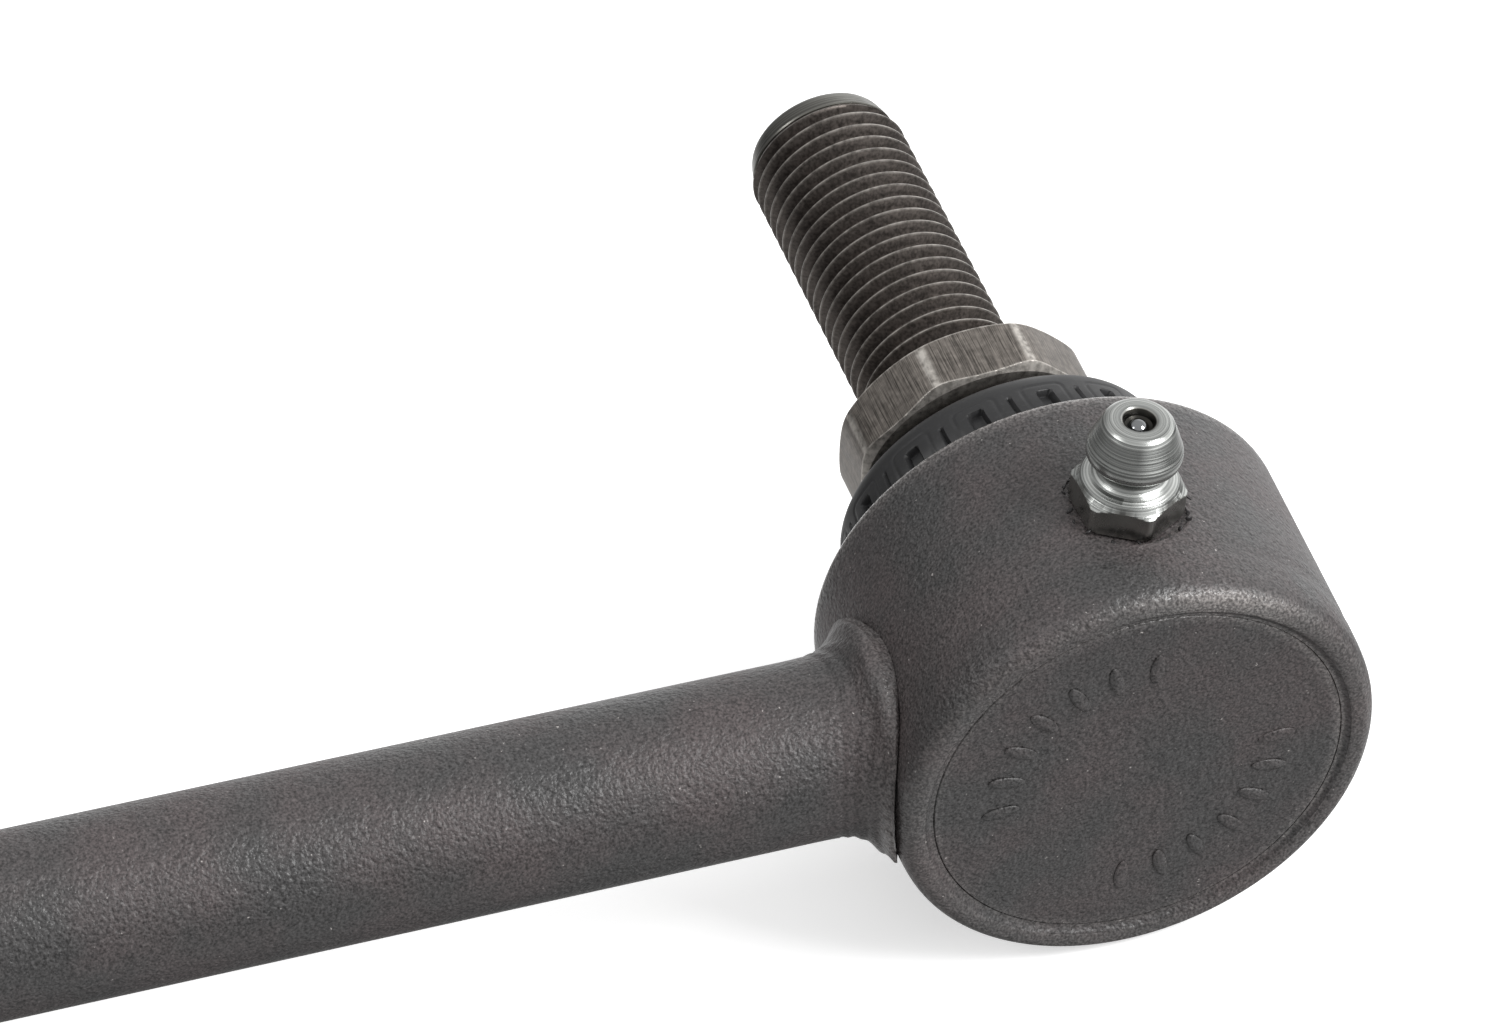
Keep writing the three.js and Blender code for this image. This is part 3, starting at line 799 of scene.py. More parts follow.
@dataclass
class Housing:
    """The round cup that holds the ball, its rolled lip and the cover plate inside the lip."""

    seat: Seat
    mark: str
    radius: float
    rim_face: float
    cap_face: float
    rim_wall: float = 1.8
    recess_depth: float = 2.9
    lip_inside: float = 14.6
    lip_crest: float = 15.7
    lip_proud: float = 0.28  # of the lip's crest past the CAD lip's flat face
    bore_radius: float = 12.1
    mouth_radius: float = 9.15  # where the stud's neck leaves the housing
    throat_radius: float = 7.45
    throat: float = 5.13
    cover_seat: float = -6.4
    cover_inside: float = -6.7
    cover_rim: float = -7.75  # inner face of the edge that the lip holds
    cover_sunk: float = 0.14  # cover's face under the CAD lip's flat face
    socket_radius: float = 15.5  # of the room behind the lip
    cover_radius: float = 15.2
    spot_radius: float = 4.3
    spot_floor: float = 16.75
    tapped_radius: float = 3.0
    # strength of the pale glints painted along the lip's seam as a highlight
    seam_painted_glint: float = 0.36
    dash_radius: float = 9.9
    dash_size: tuple[float, float, float] = (2.7, 1.0, 0.34)  # length, width and height
    dash_sunk: float = 0.04
    segments: int = 288

    def build(self) -> None:
        """Builds the cup, the cover and the raised dashes."""
        self.cup()
        self.cover()
        self.dashes()

    def cup(self) -> None:
        """The cup is turned; its spot face and tapped hole for the grease fitting are cut."""
        crest = self.cap_face - self.lip_proud
        outside = (
            [(self.lip_inside, crest + 1.0), (self.lip_inside, crest + 0.5)]
            + smoothed([(self.lip_inside + 0.02, crest + 0.45), (self.lip_inside + 0.3, crest + 0.42),
                        (self.lip_crest - 0.45, crest + 0.06), (self.lip_crest, crest - 0.03),
                        (self.lip_crest + 0.7, crest + 0.05), (self.radius - 0.2, crest + 0.75),
                        (self.radius - 0.03, crest + 1.7), (self.radius, crest + 3.4)], 3)
            + smoothed([(self.radius, crest + 3.5), (self.radius - 0.06, crest + 4.4),
                        (self.radius, crest + 5.4)], 2)
        )
        edge = arc((self.radius - 0.7, self.rim_face - 0.7), 0.7, 0, 90, 8)
        recess = self.radius - self.rim_wall
        floor = self.rim_face - self.recess_depth
        inside = [
            (recess + 0.25, self.rim_face),
            (recess, self.rim_face - 0.25),
            (recess, floor),
            (self.mouth_radius, floor),
            (self.throat_radius, self.throat),
            (self.bore_radius, self.throat),
            (self.bore_radius, self.cover_seat),
            (self.socket_radius, self.cover_seat),
            (self.socket_radius, crest + 1.0),
        ]
        rows = refined(outside + edge + inside, 0.8)

        def rub(angle: np.ndarray, r: np.ndarray, h: np.ndarray) -> Grids:
            """Pales and glosses the lip's crown, a little all round as rubbed paint and most near 20 degrees
            towards x as a painted highlight; paints a pale line on the rim's edge, partly rubbed paint and
            partly a painted highlight; paints pale glints along the seam, stronger towards +x; and lets the
            lip wander a little.

            Args:
                angle, r, h: Grids of angle, radius and height.

            Returns:
                Grids of radius, height and wear; the wear grid carries the rubbed paint and the painted
                highlights and glints.
            """
            # crown: the lip's crest made paler, weighted by sweep below: a little rubbed paint all round,
            # and a painted highlight near 20 degrees towards x
            crown = np.exp(-(((h - crest - 0.15) / 0.35) ** 2)) * (r > self.lip_inside + 0.6)
            # rim: a pale line on the rim's rounded edge, partly rubbed paint and partly a painted highlight
            rim = np.exp(-(((h - self.rim_face + 0.2) / 0.4) ** 2)) * (r > self.radius - 0.9)
            # seam: pale glints painted along the lip's seam as a highlight, stronger on the +x side
            seam = self.seam_painted_glint * np.exp(-(((r - self.lip_inside - 0.12) / 0.16) ** 2)) * (h < crest + 1)
            seam = seam * (0.35 + 0.65 * np.clip(np.sin(angle + 0.5), 0, 1))
            # sweep gathers the crown's paleness near 20 degrees towards x, where the painted highlight lies
            turn = (angle - 0.35 + math.pi) % (2 * math.pi) - math.pi
            sweep = 0.12 + 0.6 * np.exp(-((turn / 0.34) ** 2))
            wander = 0.035 * np.sin(3 * angle + 0.6) + 0.02 * np.sin(7 * angle)
            return r + wander * crown, h + wander * crown, crown * sweep + rim + seam

        shell = turned(rows, self.segments, Edge.RING, rub)
        cup = piece(f"housing_cup_{self.mark}", shell, self.seat, COATED)
        fitting = fitting_seat(self.mark, self.seat)
        spot = turned([(0, self.spot_floor), (self.spot_radius, self.spot_floor),
                       (self.spot_radius, 20), (0, 20)], 72)
        tapped = turned([(0, 11), (self.tapped_radius, 11), (self.tapped_radius, 18), (0, 18)], 48)
        tools = [piece("spot_face_cut", spot, fitting, COATED), piece("tapped_cut", tapped, fitting, COATED)]
        cut_from(cup, tools)
        merge_slivers(cup)
        cup.data.shade_smooth()
        cup.data.set_sharp_from_angle(angle=math.radians(32))
        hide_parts(f"housing_{self.mark}")
        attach(cup, "link")

    def cover(self) -> None:
        """The cover is a pressed plate, a little uneven, with pale glints painted along its edge."""
        face = self.cap_face + self.cover_sunk
        top = self.lip_inside - 0.04
        profile = [
            (0, face + 0.02), (9.0, face), (12.9, face - 0.01), (13.8, face),
            (top - 0.06, face), (top, face + 0.06), (top, self.cover_rim),
            (self.cover_radius, self.cover_rim), (self.cover_radius, self.cover_inside),
            (0, self.cover_inside),
        ]
        rows = np.vstack([[profile[0]], refined(profile, 0.9)[1:-1], [profile[-1]]])

        def rub(angle: np.ndarray, r: np.ndarray, h: np.ndarray) -> Grids:
            """Presses the plate a little unevenly and paints pale glints along its edge, stronger on the +x
            side.

            Args:
                angle, r, h: Grids of angle, radius and height.

            Returns:
                Grids of radius, height and wear; the wear grid carries the painted glints.
            """
            shown = h < face + 0.3
            wave = 0.02 * np.sin(2 * angle + r / 3) * shown * np.clip(r / 6, 0, 1) * (r < 13)
            # edge: pale glints painted along the cover's edge as a highlight, stronger on the +x side
            edge = np.exp(-(((r - top) / 0.12) ** 2)) * shown
            return r, h + wave, 0.4 * edge * (0.3 + 0.7 * np.clip(np.sin(angle + 0.5), 0, 1))

        plate = piece(f"cover_plate_pressed_{self.mark}", turned(rows, 192, warp=rub), self.seat, COATED)
        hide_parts(f"cover_plate_{self.mark}")
        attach(plate, "link")

    def dashes(self) -> None:
        """Two arcs of short raised dashes, pressed with the cover, stand in for stamped marks."""
        length, width, height = self.dash_size
        values = {"Radius": self.dash_radius, "Length": length, "Width": width, "Height": height,
                  "Material": COATED.material()}
        face = self.cap_face + self.cover_sunk - self.dash_sunk
        body = from_tree(f"cover_dashes_{self.mark}", dash_tree(), values, self.seat, face, COATED)
        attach(body, "link")


def set_inputs(modifier: bpy.types.NodesModifier, tree: bpy.types.NodeTree, values: dict) -> None:
    """Sets a node modifier's inputs by their sockets' identifiers.

    Args:
        modifier: The modifier.
        tree: Its tree.
        values: A value for each input's name.
    """
    for item in tree.interface.items_tree:
        if item.item_type == "SOCKET" and item.in_out == "INPUT" and item.name in values:
            modifier[item.identifier] = values[item.name]


def new_tree(name: str, sockets: Sequence[tuple[str, str]]) -> tuple[bpy.types.NodeTree, bpy.types.Node]:
    """Makes a geometry node tree.

    Args:
        name: The tree's name.
        sockets: Name and socket type of each input after the geometry.

    Returns:
        The tree, and the node that holds its inputs.
    """
    tree = bpy.data.node_groups.new(name, "GeometryNodeTree")
    tree.interface.new_socket("Geometry", in_out="INPUT", socket_type="NodeSocketGeometry")
    tree.interface.new_socket("Geometry", in_out="OUTPUT", socket_type="NodeSocketGeometry")
    for label, kind in sockets:
        tree.interface.new_socket(label, in_out="INPUT", socket_type=kind)
    return tree, tree.nodes.new("NodeGroupInput")


def end_tree(tree: bpy.types.NodeTree, shape: bpy.types.NodeSocket, material: bpy.types.NodeSocket) -> None:
    """Ends a geometry tree in real meshes with their material.

    Args:
        tree: The tree.
        shape: The geometry that it has made.
        material: The material's socket.
    """
    real = add_node(tree, "GeometryNodeRealizeInstances", shape)
    dressed = add_node(tree, "GeometryNodeSetMaterial", real, Material=material)
    exit_node = tree.nodes.new("NodeGroupOutput")
    tree.links.new(dressed, exit_node.inputs[0])


def dash_tree() -> bpy.types.NodeTree:
    """Makes the tree that lays two arcs of raised dashes in the xz plane, in millimetres.

    Returns:
        The tree, made the first time that it is asked for.
    """
    found = bpy.data.node_groups.get("raised_dashes")
    if found:
        return found
    lengths = [(label, "NodeSocketFloat") for label in ("Radius", "Length", "Width", "Height")]
    tree, given = new_tree("raised_dashes", lengths + [("Material", "NodeSocketMaterial")])
    get = given.outputs
    size = add_node(tree, "ShaderNodeCombineXYZ", get["Width"], get["Height"], get["Length"])
    ball = add_node(tree, "GeometryNodeMeshUVSphere", 20, 12, 0.5)
    dash = add_node(tree, "GeometryNodeTransform", ball, Scale=size)
    joined = tree.nodes.new("GeometryNodeJoinGeometry")
    sweep = 100.0
    for start in (85.0, 265.0):
        arc_line = add_node(
            tree, "GeometryNodeCurveArc", 5, Radius=get["Radius"], Start_Angle=math.radians(start),
            Sweep_Angle=math.radians(sweep),
        )
        laid = add_node(tree, "GeometryNodeTransform", arc_line, Rotation=(math.radians(90), 0, 0))
        points = add_node(tree, "GeometryNodeCurveToPoints", laid, 7)
        place = add_node(tree, "GeometryNodeInputPosition")
        facing = add_node(tree, "FunctionNodeAlignRotationToVector", None, None, place, axis="Z",
                          pivot_axis="Y")
        instances = add_node(tree, "GeometryNodeInstanceOnPoints", points, Instance=dash, Rotation=facing)
        tree.links.new(instances, joined.inputs[0])
    end_tree(tree, joined.outputs[0], get["Material"])
    return tree


# ---- Ball stud -----------------------------------------------------------------------------------


def thread_tree() -> bpy.types.NodeTree:
    """Makes the tree that bends a grid into a screw thread about y, closed at both ends.

    The grid's rows climb one pitch a turn, so that every crest is one clean line. Lengths are in
    millimetres. The wear attribute is 1 on the crest and falls off down the flanks.

    Returns:
        The tree, made the first time that it is asked for.
    """
    found = bpy.data.node_groups.get("rolled_thread")
    if found:
        return found
    names = ("Crest Radius", "Depth", "Pitch", "Start", "End", "Phase", "Runout Radius", "Tip Radius")
    tree, given = new_tree(
        "rolled_thread",
        [(label, "NodeSocketFloat") for label in names]
        + [("Rows", "NodeSocketInt"), ("Facets", "NodeSocketInt"), ("Material", "NodeSocketMaterial")],
    )
    get = given.outputs
    place = add_node(tree, "ShaderNodeSeparateXYZ", add_node(tree, "GeometryNodeInputPosition"), out=0).node
    lengths = {label: get[label] for label in names}
    lengths |= {"grid x": place.outputs["X"], "grid y": place.outputs["Y"]}
    crest_land, lead_in, lead_out = 0.07, 0.75, 0.7
    # Each row: the sum's name, its operation, and its terms, which are numbers or names from rows above.
    sums = (
        ("length", "SUBTRACT", "End", "Start"),
        ("spare", "MULTIPLY", "Pitch", 4.0),
        ("span", "ADD", "length", "spare"),
        ("half span", "MULTIPLY", "span", 0.5),
        ("along", "ADD", "grid x", "half span"),
        ("turn", "ADD", "grid y", 0.5),
        ("below", "MULTIPLY", "Pitch", 2.0),
        ("first", "SUBTRACT", "Start", "below"),
        ("foot", "ADD", "along", "first"),
        ("climb", "MULTIPLY", "turn", "Pitch"),
        ("height", "ADD", "foot", "climb"),
        ("half pitch", "MULTIPLY", "Pitch", 0.5),
        ("from crest", "SUBTRACT", "foot", "Phase"),
        ("from root", "ADD", "from crest", "half pitch"),
        ("wave", "PINGPONG", "from root", "half pitch"),
        ("off crest", "SUBTRACT", "half pitch", "wave"),
        ("off land", "SUBTRACT", "off crest", crest_land),
        ("flank", "MULTIPLY", "off land", math.sqrt(3)),
        ("below crest", "MAXIMUM", "flank", 0.0),
        ("cut", "MINIMUM", "below crest", "Depth"),
        ("tooth", "SUBTRACT", "Crest Radius", "cut"),
        ("past start", "SUBTRACT", "height", "Start"),
        ("lead in", "MULTIPLY", "past start", lead_in),
        ("rise", "ADD", "Runout Radius", "lead in"),
        ("before end", "SUBTRACT", "End", "height"),
        ("lead out", "MULTIPLY", "before end", lead_out),
        ("fall", "ADD", "Tip Radius", "lead out"),
        ("led in", "MINIMUM", "tooth", "rise"),
        ("radius", "MINIMUM", "led in", "fall"),
        ("over start", "GREATER_THAN", "height", "Start"),
        ("under end", "LESS_THAN", "height", "End"),
        ("inside", "MULTIPLY", "over start", "under end"),
        ("shown", "MULTIPLY", "radius", "inside"),
        ("held up", "MAXIMUM", "height", "Start"),
        ("level", "MINIMUM", "held up", "End"),
        ("angle", "MULTIPLY", "turn", 2 * math.pi),
        ("sine", "SINE", "angle"),
        ("cosine", "COSINE", "angle"),
        ("x", "MULTIPLY", "shown", "sine"),
        ("z", "MULTIPLY", "shown", "cosine"),
    )
    for name, operation, *terms in sums:
        terms = [lengths[term] if isinstance(term, str) else term for term in terms]
        lengths[name] = add_node(tree, "ShaderNodeMath", *terms, operation=operation)
    grid = add_node(tree, "GeometryNodeMeshGrid", lengths["span"], 1.0, get["Rows"], get["Facets"])
    bent = add_node(tree, "ShaderNodeCombineXYZ", lengths["x"], lengths["level"], lengths["z"])
    rubbed = add_node(tree, "ShaderNodeMapRange", lengths["off crest"], 0.045, 0.085, 1.0, 0.0)
    marked = add_node(tree, "GeometryNodeStoreNamedAttribute", grid, Name=WEAR_AND_PAINTED_LIGHT, Value=rubbed,
                      data_type="FLOAT", domain="POINT")
    screwed = add_node(tree, "GeometryNodeSetPosition", marked, Position=bent)
    closed = add_node(tree, "GeometryNodeMergeByDistance", screwed, Distance=0.004)
    end_tree(tree, closed, get["Material"])
    return tree


@dataclass
class BallStud:
    """The stud: ball, tapered neck, boot land, wrench collar, rolled thread and turned tip."""

    seat: Seat
    mark: str
    ball_radius: float = 7.5
    ball_trim: float = 0.6
    neck_radius: float = 4.4
    land_radius: float = 6.0
    land_start: float = 15.2
    collar_start: float = 20.4
    collar_length: float = 4.5
    across_flats: float = 18.0
    flats: int = 8
    corner_round: float = 0.32
    thread_radius: float = 5.94
    pitch: float = 1.25
    thread_depth: float = 0.77
    thread_start: float = 26.1
    thread_end: float = 51.1
    phase: float = 0.775
    runout_radius: float = 4.9
    tip_radius: float = 4.9
    tip_length: float = 1.7
    thread_rows: int = 16  # a pitch
    thread_facets: int = 120  # a turn
    bevel_lead: float = 0.24  # how far the collar's bevel starts inside its flats
    bevel_slope: float = 1.6
    corner_blend: float = 7.0  # how tightly a corner's round meets its flats

    def build(self) -> None:
        """Builds the stud's four pieces; all ride on the stud and stand for the CAD stud."""
        parts = [self.shank(), self.collar(), self.thread(), self.tip()]
        for part in parts:
            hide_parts(f"ball_stud_{self.mark}")
            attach(part, f"stud_{self.mark}")

    def shank(self) -> bpy.types.Object:
        """The ball, neck and land under the collar, and the necked run-out above it."""
        low = math.degrees(math.asin(-1 + self.ball_trim / self.ball_radius))
        high = math.degrees(math.acos(self.neck_radius / self.ball_radius))
        end = self.collar_start + self.collar_length
        profile = (
            [(0, -self.ball_radius + self.ball_trim)]
            + arc((0, 0), self.ball_radius, low, high, 48)
            + smoothed([(self.neck_radius, 6.6), (self.neck_radius, 13.2), (self.land_radius, 14.9),
                        (self.land_radius, self.collar_start + 0.3)], 2)
            + [(self.land_radius, end + 0.25), (self.land_radius - 0.2, end + 0.45)]
            + [(self.runout_radius + 0.1, end + 0.95), (self.runout_radius, end + 1.15)]
            + [(self.runout_radius, self.thread_start + 1), (0, self.thread_start + 1)]
        )
        return piece(f"stud_ball_shank_{self.mark}", turned(profile, 96), self.seat, THREAD)

    def collar(self) -> bpy.types.Object:
        """The wrench collar: flats with rounded corners, chamfered above and below."""
        half = self.across_flats / 2
        start, end = self.collar_start, self.collar_start + self.collar_length
        sector = 2 * math.pi / self.flats
        heights = np.concatenate([np.arange(0, 0.62, 0.03), [0.7, 0.85, 1.05],
                                  np.linspace(1.3, self.collar_length / 2, 6)])
        heights = np.concatenate([heights, self.collar_length - heights[::-1][1:]])
        rows = [(0, start), (self.land_radius - 0.6, start), (half - 1.6, start)]
        rows += [(half, start + h) for h in heights]
        rows += [(half - 1.6, end), (self.land_radius - 0.6, end), (0, end)]

        def flatten(angle: np.ndarray, r: np.ndarray, h: np.ndarray) -> Grids:
            """Cuts the flats, rounds the corners and turns the two chamfers.

            Args:
                angle, r, h: Grids of angle, radius and height.

            Returns:
                Grids of radius, height and wear.
            """
            off = (angle + sector / 2) % sector - sector / 2
            flat = half / np.cos(off)
            corner = half / math.cos(sector / 2) - self.corner_round
            sharp = self.corner_blend
            prism = -np.log(np.exp(-sharp * flat) + np.exp(-sharp * corner)) / sharp
            cone = half - self.bevel_lead + np.minimum(h - start, end - h) * self.bevel_slope
            shaped = np.minimum(prism, cone)
            face = np.abs(r - half) < 1e-6
            near_corner = smooth_step(np.abs(off), sector / 2 - 0.055, sector / 2 - 0.015)
            near_bevel = 1 - smooth_step(cone - prism, 0.0, 0.22)
            wear = np.clip(0.85 * near_corner + 0.95 * near_bevel, 0, 1) * face
            return np.where(face, shaped, r), h, wear

        shell = turned(rows, 384, warp=flatten)
        return piece(f"stud_wrench_collar_{self.mark}", shell, self.seat, COLLAR, 22)

    def thread(self) -> bpy.types.Object:
        """The rolled thread, bent from a grid by its node tree."""
        turns = (self.thread_end - self.thread_start) / self.pitch + 4
        values = {
            "Crest Radius": self.thread_radius, "Depth": self.thread_depth, "Pitch": self.pitch,
            "Start": self.thread_start, "End": self.thread_end, "Phase": self.phase,
            "Runout Radius": self.runout_radius, "Tip Radius": self.tip_radius + 0.5,
            "Rows": round(turns * self.thread_rows) + 1, "Facets": self.thread_facets + 1,
            "Material": THREAD.material(),
        }
        name = f"stud_thread_{self.mark}"
        return from_tree(name, thread_tree(), values, self.seat, 0.0, THREAD, crease=45)

    def tip(self) -> bpy.types.Object:
        """The turned tip past the thread, with a rounded edge and a shallow centre."""
        base, end = self.thread_end - 1.3, self.thread_end + self.tip_length
        profile = (
            [(0, base), (4.6, base), (5.02, self.thread_end - 0.3), (5.56, self.thread_end - 0.12)]
            + smoothed([(5.6, self.thread_end), (5.5, self.thread_end + 0.4), (5.3, end - 0.55),
                        (5.02, end - 0.12), (4.5, end), (3.4, end)], 2)
            + [(1.5, end), (1.35, end - 0.08), (0.5, end - 0.5), (0, end - 0.55)]
        )
        return piece(f"stud_turned_tip_{self.mark}", turned(profile, 128), self.seat, TIP, 28)


# ---- Dust boot and its rings ---------------------------------------------------------------------


@dataclass
class DustBoot:
    """The rubber boot round the stud: moulded windows in its shoulder, a ring at each end."""

    seat: Seat
    mark: str
    lean: tuple[float, float]
    recess_floor: float
    rim_height: float
    base_radius: float = 15.1
    wall_radius: float = 13.2
    shoulder_radius: float = 11.4
    crown: float = 17.5
    split: float = 12.35  # height over the ball centre where the lower half meets the upper
    sleeve_inside: float = 6.3
    sleeve_outside: float = 7.6
    sleeve_top: float = 19.9
    windows: int = 15
    first_window: float = 180.0 - 147.5  # degrees from +z towards +x
    window_height: float = 14.3
    frame_half: tuple[float, float] = (1.57, 1.85)  # half a window frame's width and height
    slot_half: tuple[float, float] = (0.57, 1.15)
    slit_half: tuple[float, float] = (0.06, 1.3)
    frame_depth: float = 0.05
    slot_depth: float = 0.6
    slit_depth: float = 0.28
    lean_end: float = 15.0
    bend_start: float = 0.3  # over the rim, the height of a point found on the boot's axis
    sleeve_start: float = 16.4  # the height of a point found on the boot's axis
    seam: float = 0.02  # from the row where the halves meet to the points found on the boot's axis
    segments: int = 720

    def build(self) -> None:
        """Builds both halves of the boot and both rings, and ties each ring to its body."""
        lower = self.half("lower", self.lower_profile())
        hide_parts(f"dust_boot_{self.mark}")
        foot, head = self.on_axis(self.rim_height + self.bend_start), self.on_axis(self.split - self.seam)
        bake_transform(lower)
        upper = self.half("upper", self.upper_profile())
        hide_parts(f"dust_boot_{self.mark}")
        foot, head = self.on_axis(self.split + self.seam), self.on_axis(self.sleeve_start)
        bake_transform(upper)
        self.base_ring()
        self.neck_ring()

    def half(self, label: str, profile: list[tuple[float, float]]) -> bpy.types.Object:
        """Makes one half of the boot, leaned as the stud leans at rest.

        Args:
            label: The half's name.
            profile: Its closed section, as radius and height.

        Returns:
            The half, as a piece.
        """
        shell = turned(profile, self.segments, Edge.RING, self.moulded)
        shell.points = self.leaned(shell.points, shell.points[:, 1])
        return piece(f"dust_boot_{label}_{self.mark}", shell, self.seat, RUBBER, 50)

    def leaned(self, points: np.ndarray, heights: np.ndarray) -> np.ndarray:
        """Turns points about the ball centre as far as the boot leans at their heights.

        Args:
            points: Places in the seat's frame.
            heights: Each one's height before it leans.

        Returns:
            The turned points.
        """
        share = smooth_step(heights, self.rim_height, self.lean_end)
        about_x, about_z = np.radians(self.lean[0]) * share, np.radians(self.lean[1]) * share
        x, y, z = points.T
        x, y = x * np.cos(about_z) - y * np.sin(about_z), x * np.sin(about_z) + y * np.cos(about_z)
        y, z = y * np.cos(about_x) - z * np.sin(about_x), y * np.sin(about_x) + z * np.cos(about_x)
        return np.stack([x, y, z], axis=-1)

    def on_axis(self, height: float) -> Vector:
        """Finds a point on the boot's axis, as it leans where the halves meet.

        The row of points where they meet is square to that axis.

        Args:
            height: Its height over the ball centre.

        Returns:
            The point, in the row frame.
        """
        place = self.leaned(np.array([[0.0, height, 0.0]]), np.array([self.split]))
        return self.seat.point(*place[0])

    def lower_profile(self) -> list[tuple[float, float]]:
        """Returns the base flange and the wall up to the split."""
        foot = self.recess_floor + 0.3
        flange = self.rim_height - 1.45
        inner = self.wall_radius - 1.5
        rows = [
            (inner, foot),
            (self.base_radius - 0.3, foot),
            (self.base_radius, foot + 0.3),
            (self.base_radius, flange - 0.15),
            (self.base_radius - 0.15, flange),
            (self.wall_radius + 0.1, flange),
            (self.wall_radius, flange + 0.1),
            (self.wall_radius, self.rim_height + 0.3),
            (self.wall_radius - 0.12, self.rim_height + 1.4),
            (self.wall_radius - 0.27, self.split),
            (self.wall_radius - 1.77, self.split),
            (inner - 0.1, self.rim_height + 1.3),
            (inner, self.rim_height),
        ]
        return refined(rows + [rows[0]], 0.6)[:-1]

    def upper_profile(self) -> list[tuple[float, float]]:
        """Returns the wall above the split, the shoulder, the crown and the sleeve."""
        wall = smoothed(
            [
                (self.wall_radius - 0.27, self.split),
                (self.wall_radius - 0.52, 13.6),
                (self.wall_radius - 0.85, 15.4),
                (self.shoulder_radius + 0.72, 16.7),
                (self.shoulder_radius + 0.1, 17.45),
                (self.shoulder_radius - 1.1, self.crown + 0.42),
                (self.sleeve_outside + 1.2, self.crown + 0.5),
                (self.sleeve_outside + 0.1, self.crown + 0.75),
                (self.sleeve_outside, self.crown + 1.1),
            ],
            3,
        )
        outer = refined(wall, 0.13)
        inner = [
            (self.sleeve_outside, self.sleeve_top - 0.2),
            (self.sleeve_outside - 0.2, self.sleeve_top),
            (self.sleeve_inside + 0.15, self.sleeve_top),
            (self.sleeve_inside, self.sleeve_top - 0.15),
            (self.sleeve_inside, self.crown - 1.5),
            (self.shoulder_radius - 2.1, self.crown - 2.1),
            (self.wall_radius - 2.1, self.rim_height + 4.4),
            (self.wall_radius - 1.77, self.split),
        ]
        closing = refined(inner + [tuple(outer[0])], 0.8)[:-1]
        return np.vstack([outer, closing])

    def moulded(self, angle: np.ndarray, r: np.ndarray, h: np.ndarray) -> Grids:
        """Presses the windows, their slots and the slits between them into the boot's outside.

        Args:
            angle, r, h: Grids of angle, radius and height.

        Returns:
            Grids of radius, height and wear.
        """
        step = 2 * math.pi / self.windows
        start = math.radians(self.first_window)
        across = ((angle - start + step / 2) % step - step / 2) * r
        between = ((angle - start) % step - step / 2) * r
        up = (h - self.window_height) * 1.12
        row = np.arange(len(h))[:, None] * np.ones_like(h)
        shown = (r > self.shoulder_radius - 0.6) & (row < len(h) * 0.9) & (h < 17.6)
        frame_line = np.abs(rounded_box(across, up, self.frame_half, 0.5))
        groove = self.frame_depth * (1 - smooth_step(frame_line, 0.03, 0.2))
        slot = rounded_box(across, up, self.slot_half, 0.28)
        recess = self.slot_depth * (1 - smooth_step(slot, -0.16, 0.06))
        cut = rounded_box(between, up + 0.1, self.slit_half, 0.06)
        slit = self.slit_depth * (1 - smooth_step(cut, -0.03, 0.14))
        pressed = (groove + recess + slit) * shown * (r > self.wall_radius - 2.4)
        return r - pressed, h, np.zeros_like(r)

    def base_ring(self) -> None:
        """The flat spring ring that holds the boot's base in the recess."""
        low, high = self.rim_height - 1.0, self.rim_height - 0.15
        profile = [(13.55, low + 0.1), (13.65, low), (15.0, low), (15.1, low + 0.1), (15.1, high - 0.15),
                   (14.95, high), (14.45, high), (14.33, high - 0.12), (14.2, high), (13.7, high),
                   (13.55, high - 0.15)]
        ring = piece(f"boot_base_ring_flat_{self.mark}", turned(profile, 160, Edge.RING), self.seat, RING)
        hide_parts(f"boot_base_ring_{self.mark}")
        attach(ring, "link")

    def neck_ring(self) -> None:
        """The round-wire ring that holds the sleeve on the stud, two turns side by side."""
        middle = (self.crown + 0.8 + self.sleeve_top) / 2
        radius, wire = 8.17, 0.27
        coil = turned(arc((radius, middle - wire), wire, 0, 330, 11), 128, Edge.RING)
        coil = coil.joined(turned(arc((radius, middle + wire), 0.265, 0, 330, 11), 128, Edge.RING))
        stud = stud_seat(self.mark)
        ring = piece(f"boot_neck_ring_wire_{self.mark}", coil, stud, RING)
        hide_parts(f"boot_neck_ring_{self.mark}")
        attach(ring, f"boot_tilt_{self.mark}")


# ---- Grease fitting ------------------------------------------------------------------------------


def coil_tree() -> bpy.types.NodeTree:
    """Makes the tree that winds a wire spring about y, in millimetres.

    Returns:
        The tree, made the first time that it is asked for.
    """
    found = bpy.data.node_groups.get("wound_spring")
    if found:
        return found
    names = ("Turns", "Coil Radius", "Height", "Wire Radius")
    tree, given = new_tree(
        "wound_spring",
        [(label, "NodeSocketFloat") for label in names] + [("Material", "NodeSocketMaterial")],
    )
    get = given.outputs
    path = add_node(
        tree, "GeometryNodeCurveSpiral", 24, get["Turns"], get["Coil Radius"], get["Coil Radius"],
        get["Height"],
    )
    upright = add_node(tree, "GeometryNodeTransform", path, Rotation=(math.radians(-90), 0, 0))
    section = add_node(tree, "GeometryNodeCurvePrimitiveCircle", Resolution=10, Radius=get["Wire Radius"])
    wire = add_node(tree, "GeometryNodeCurveToMesh", upright, section, Fill_Caps=True)
    end_tree(tree, wire, get["Material"])
    return tree


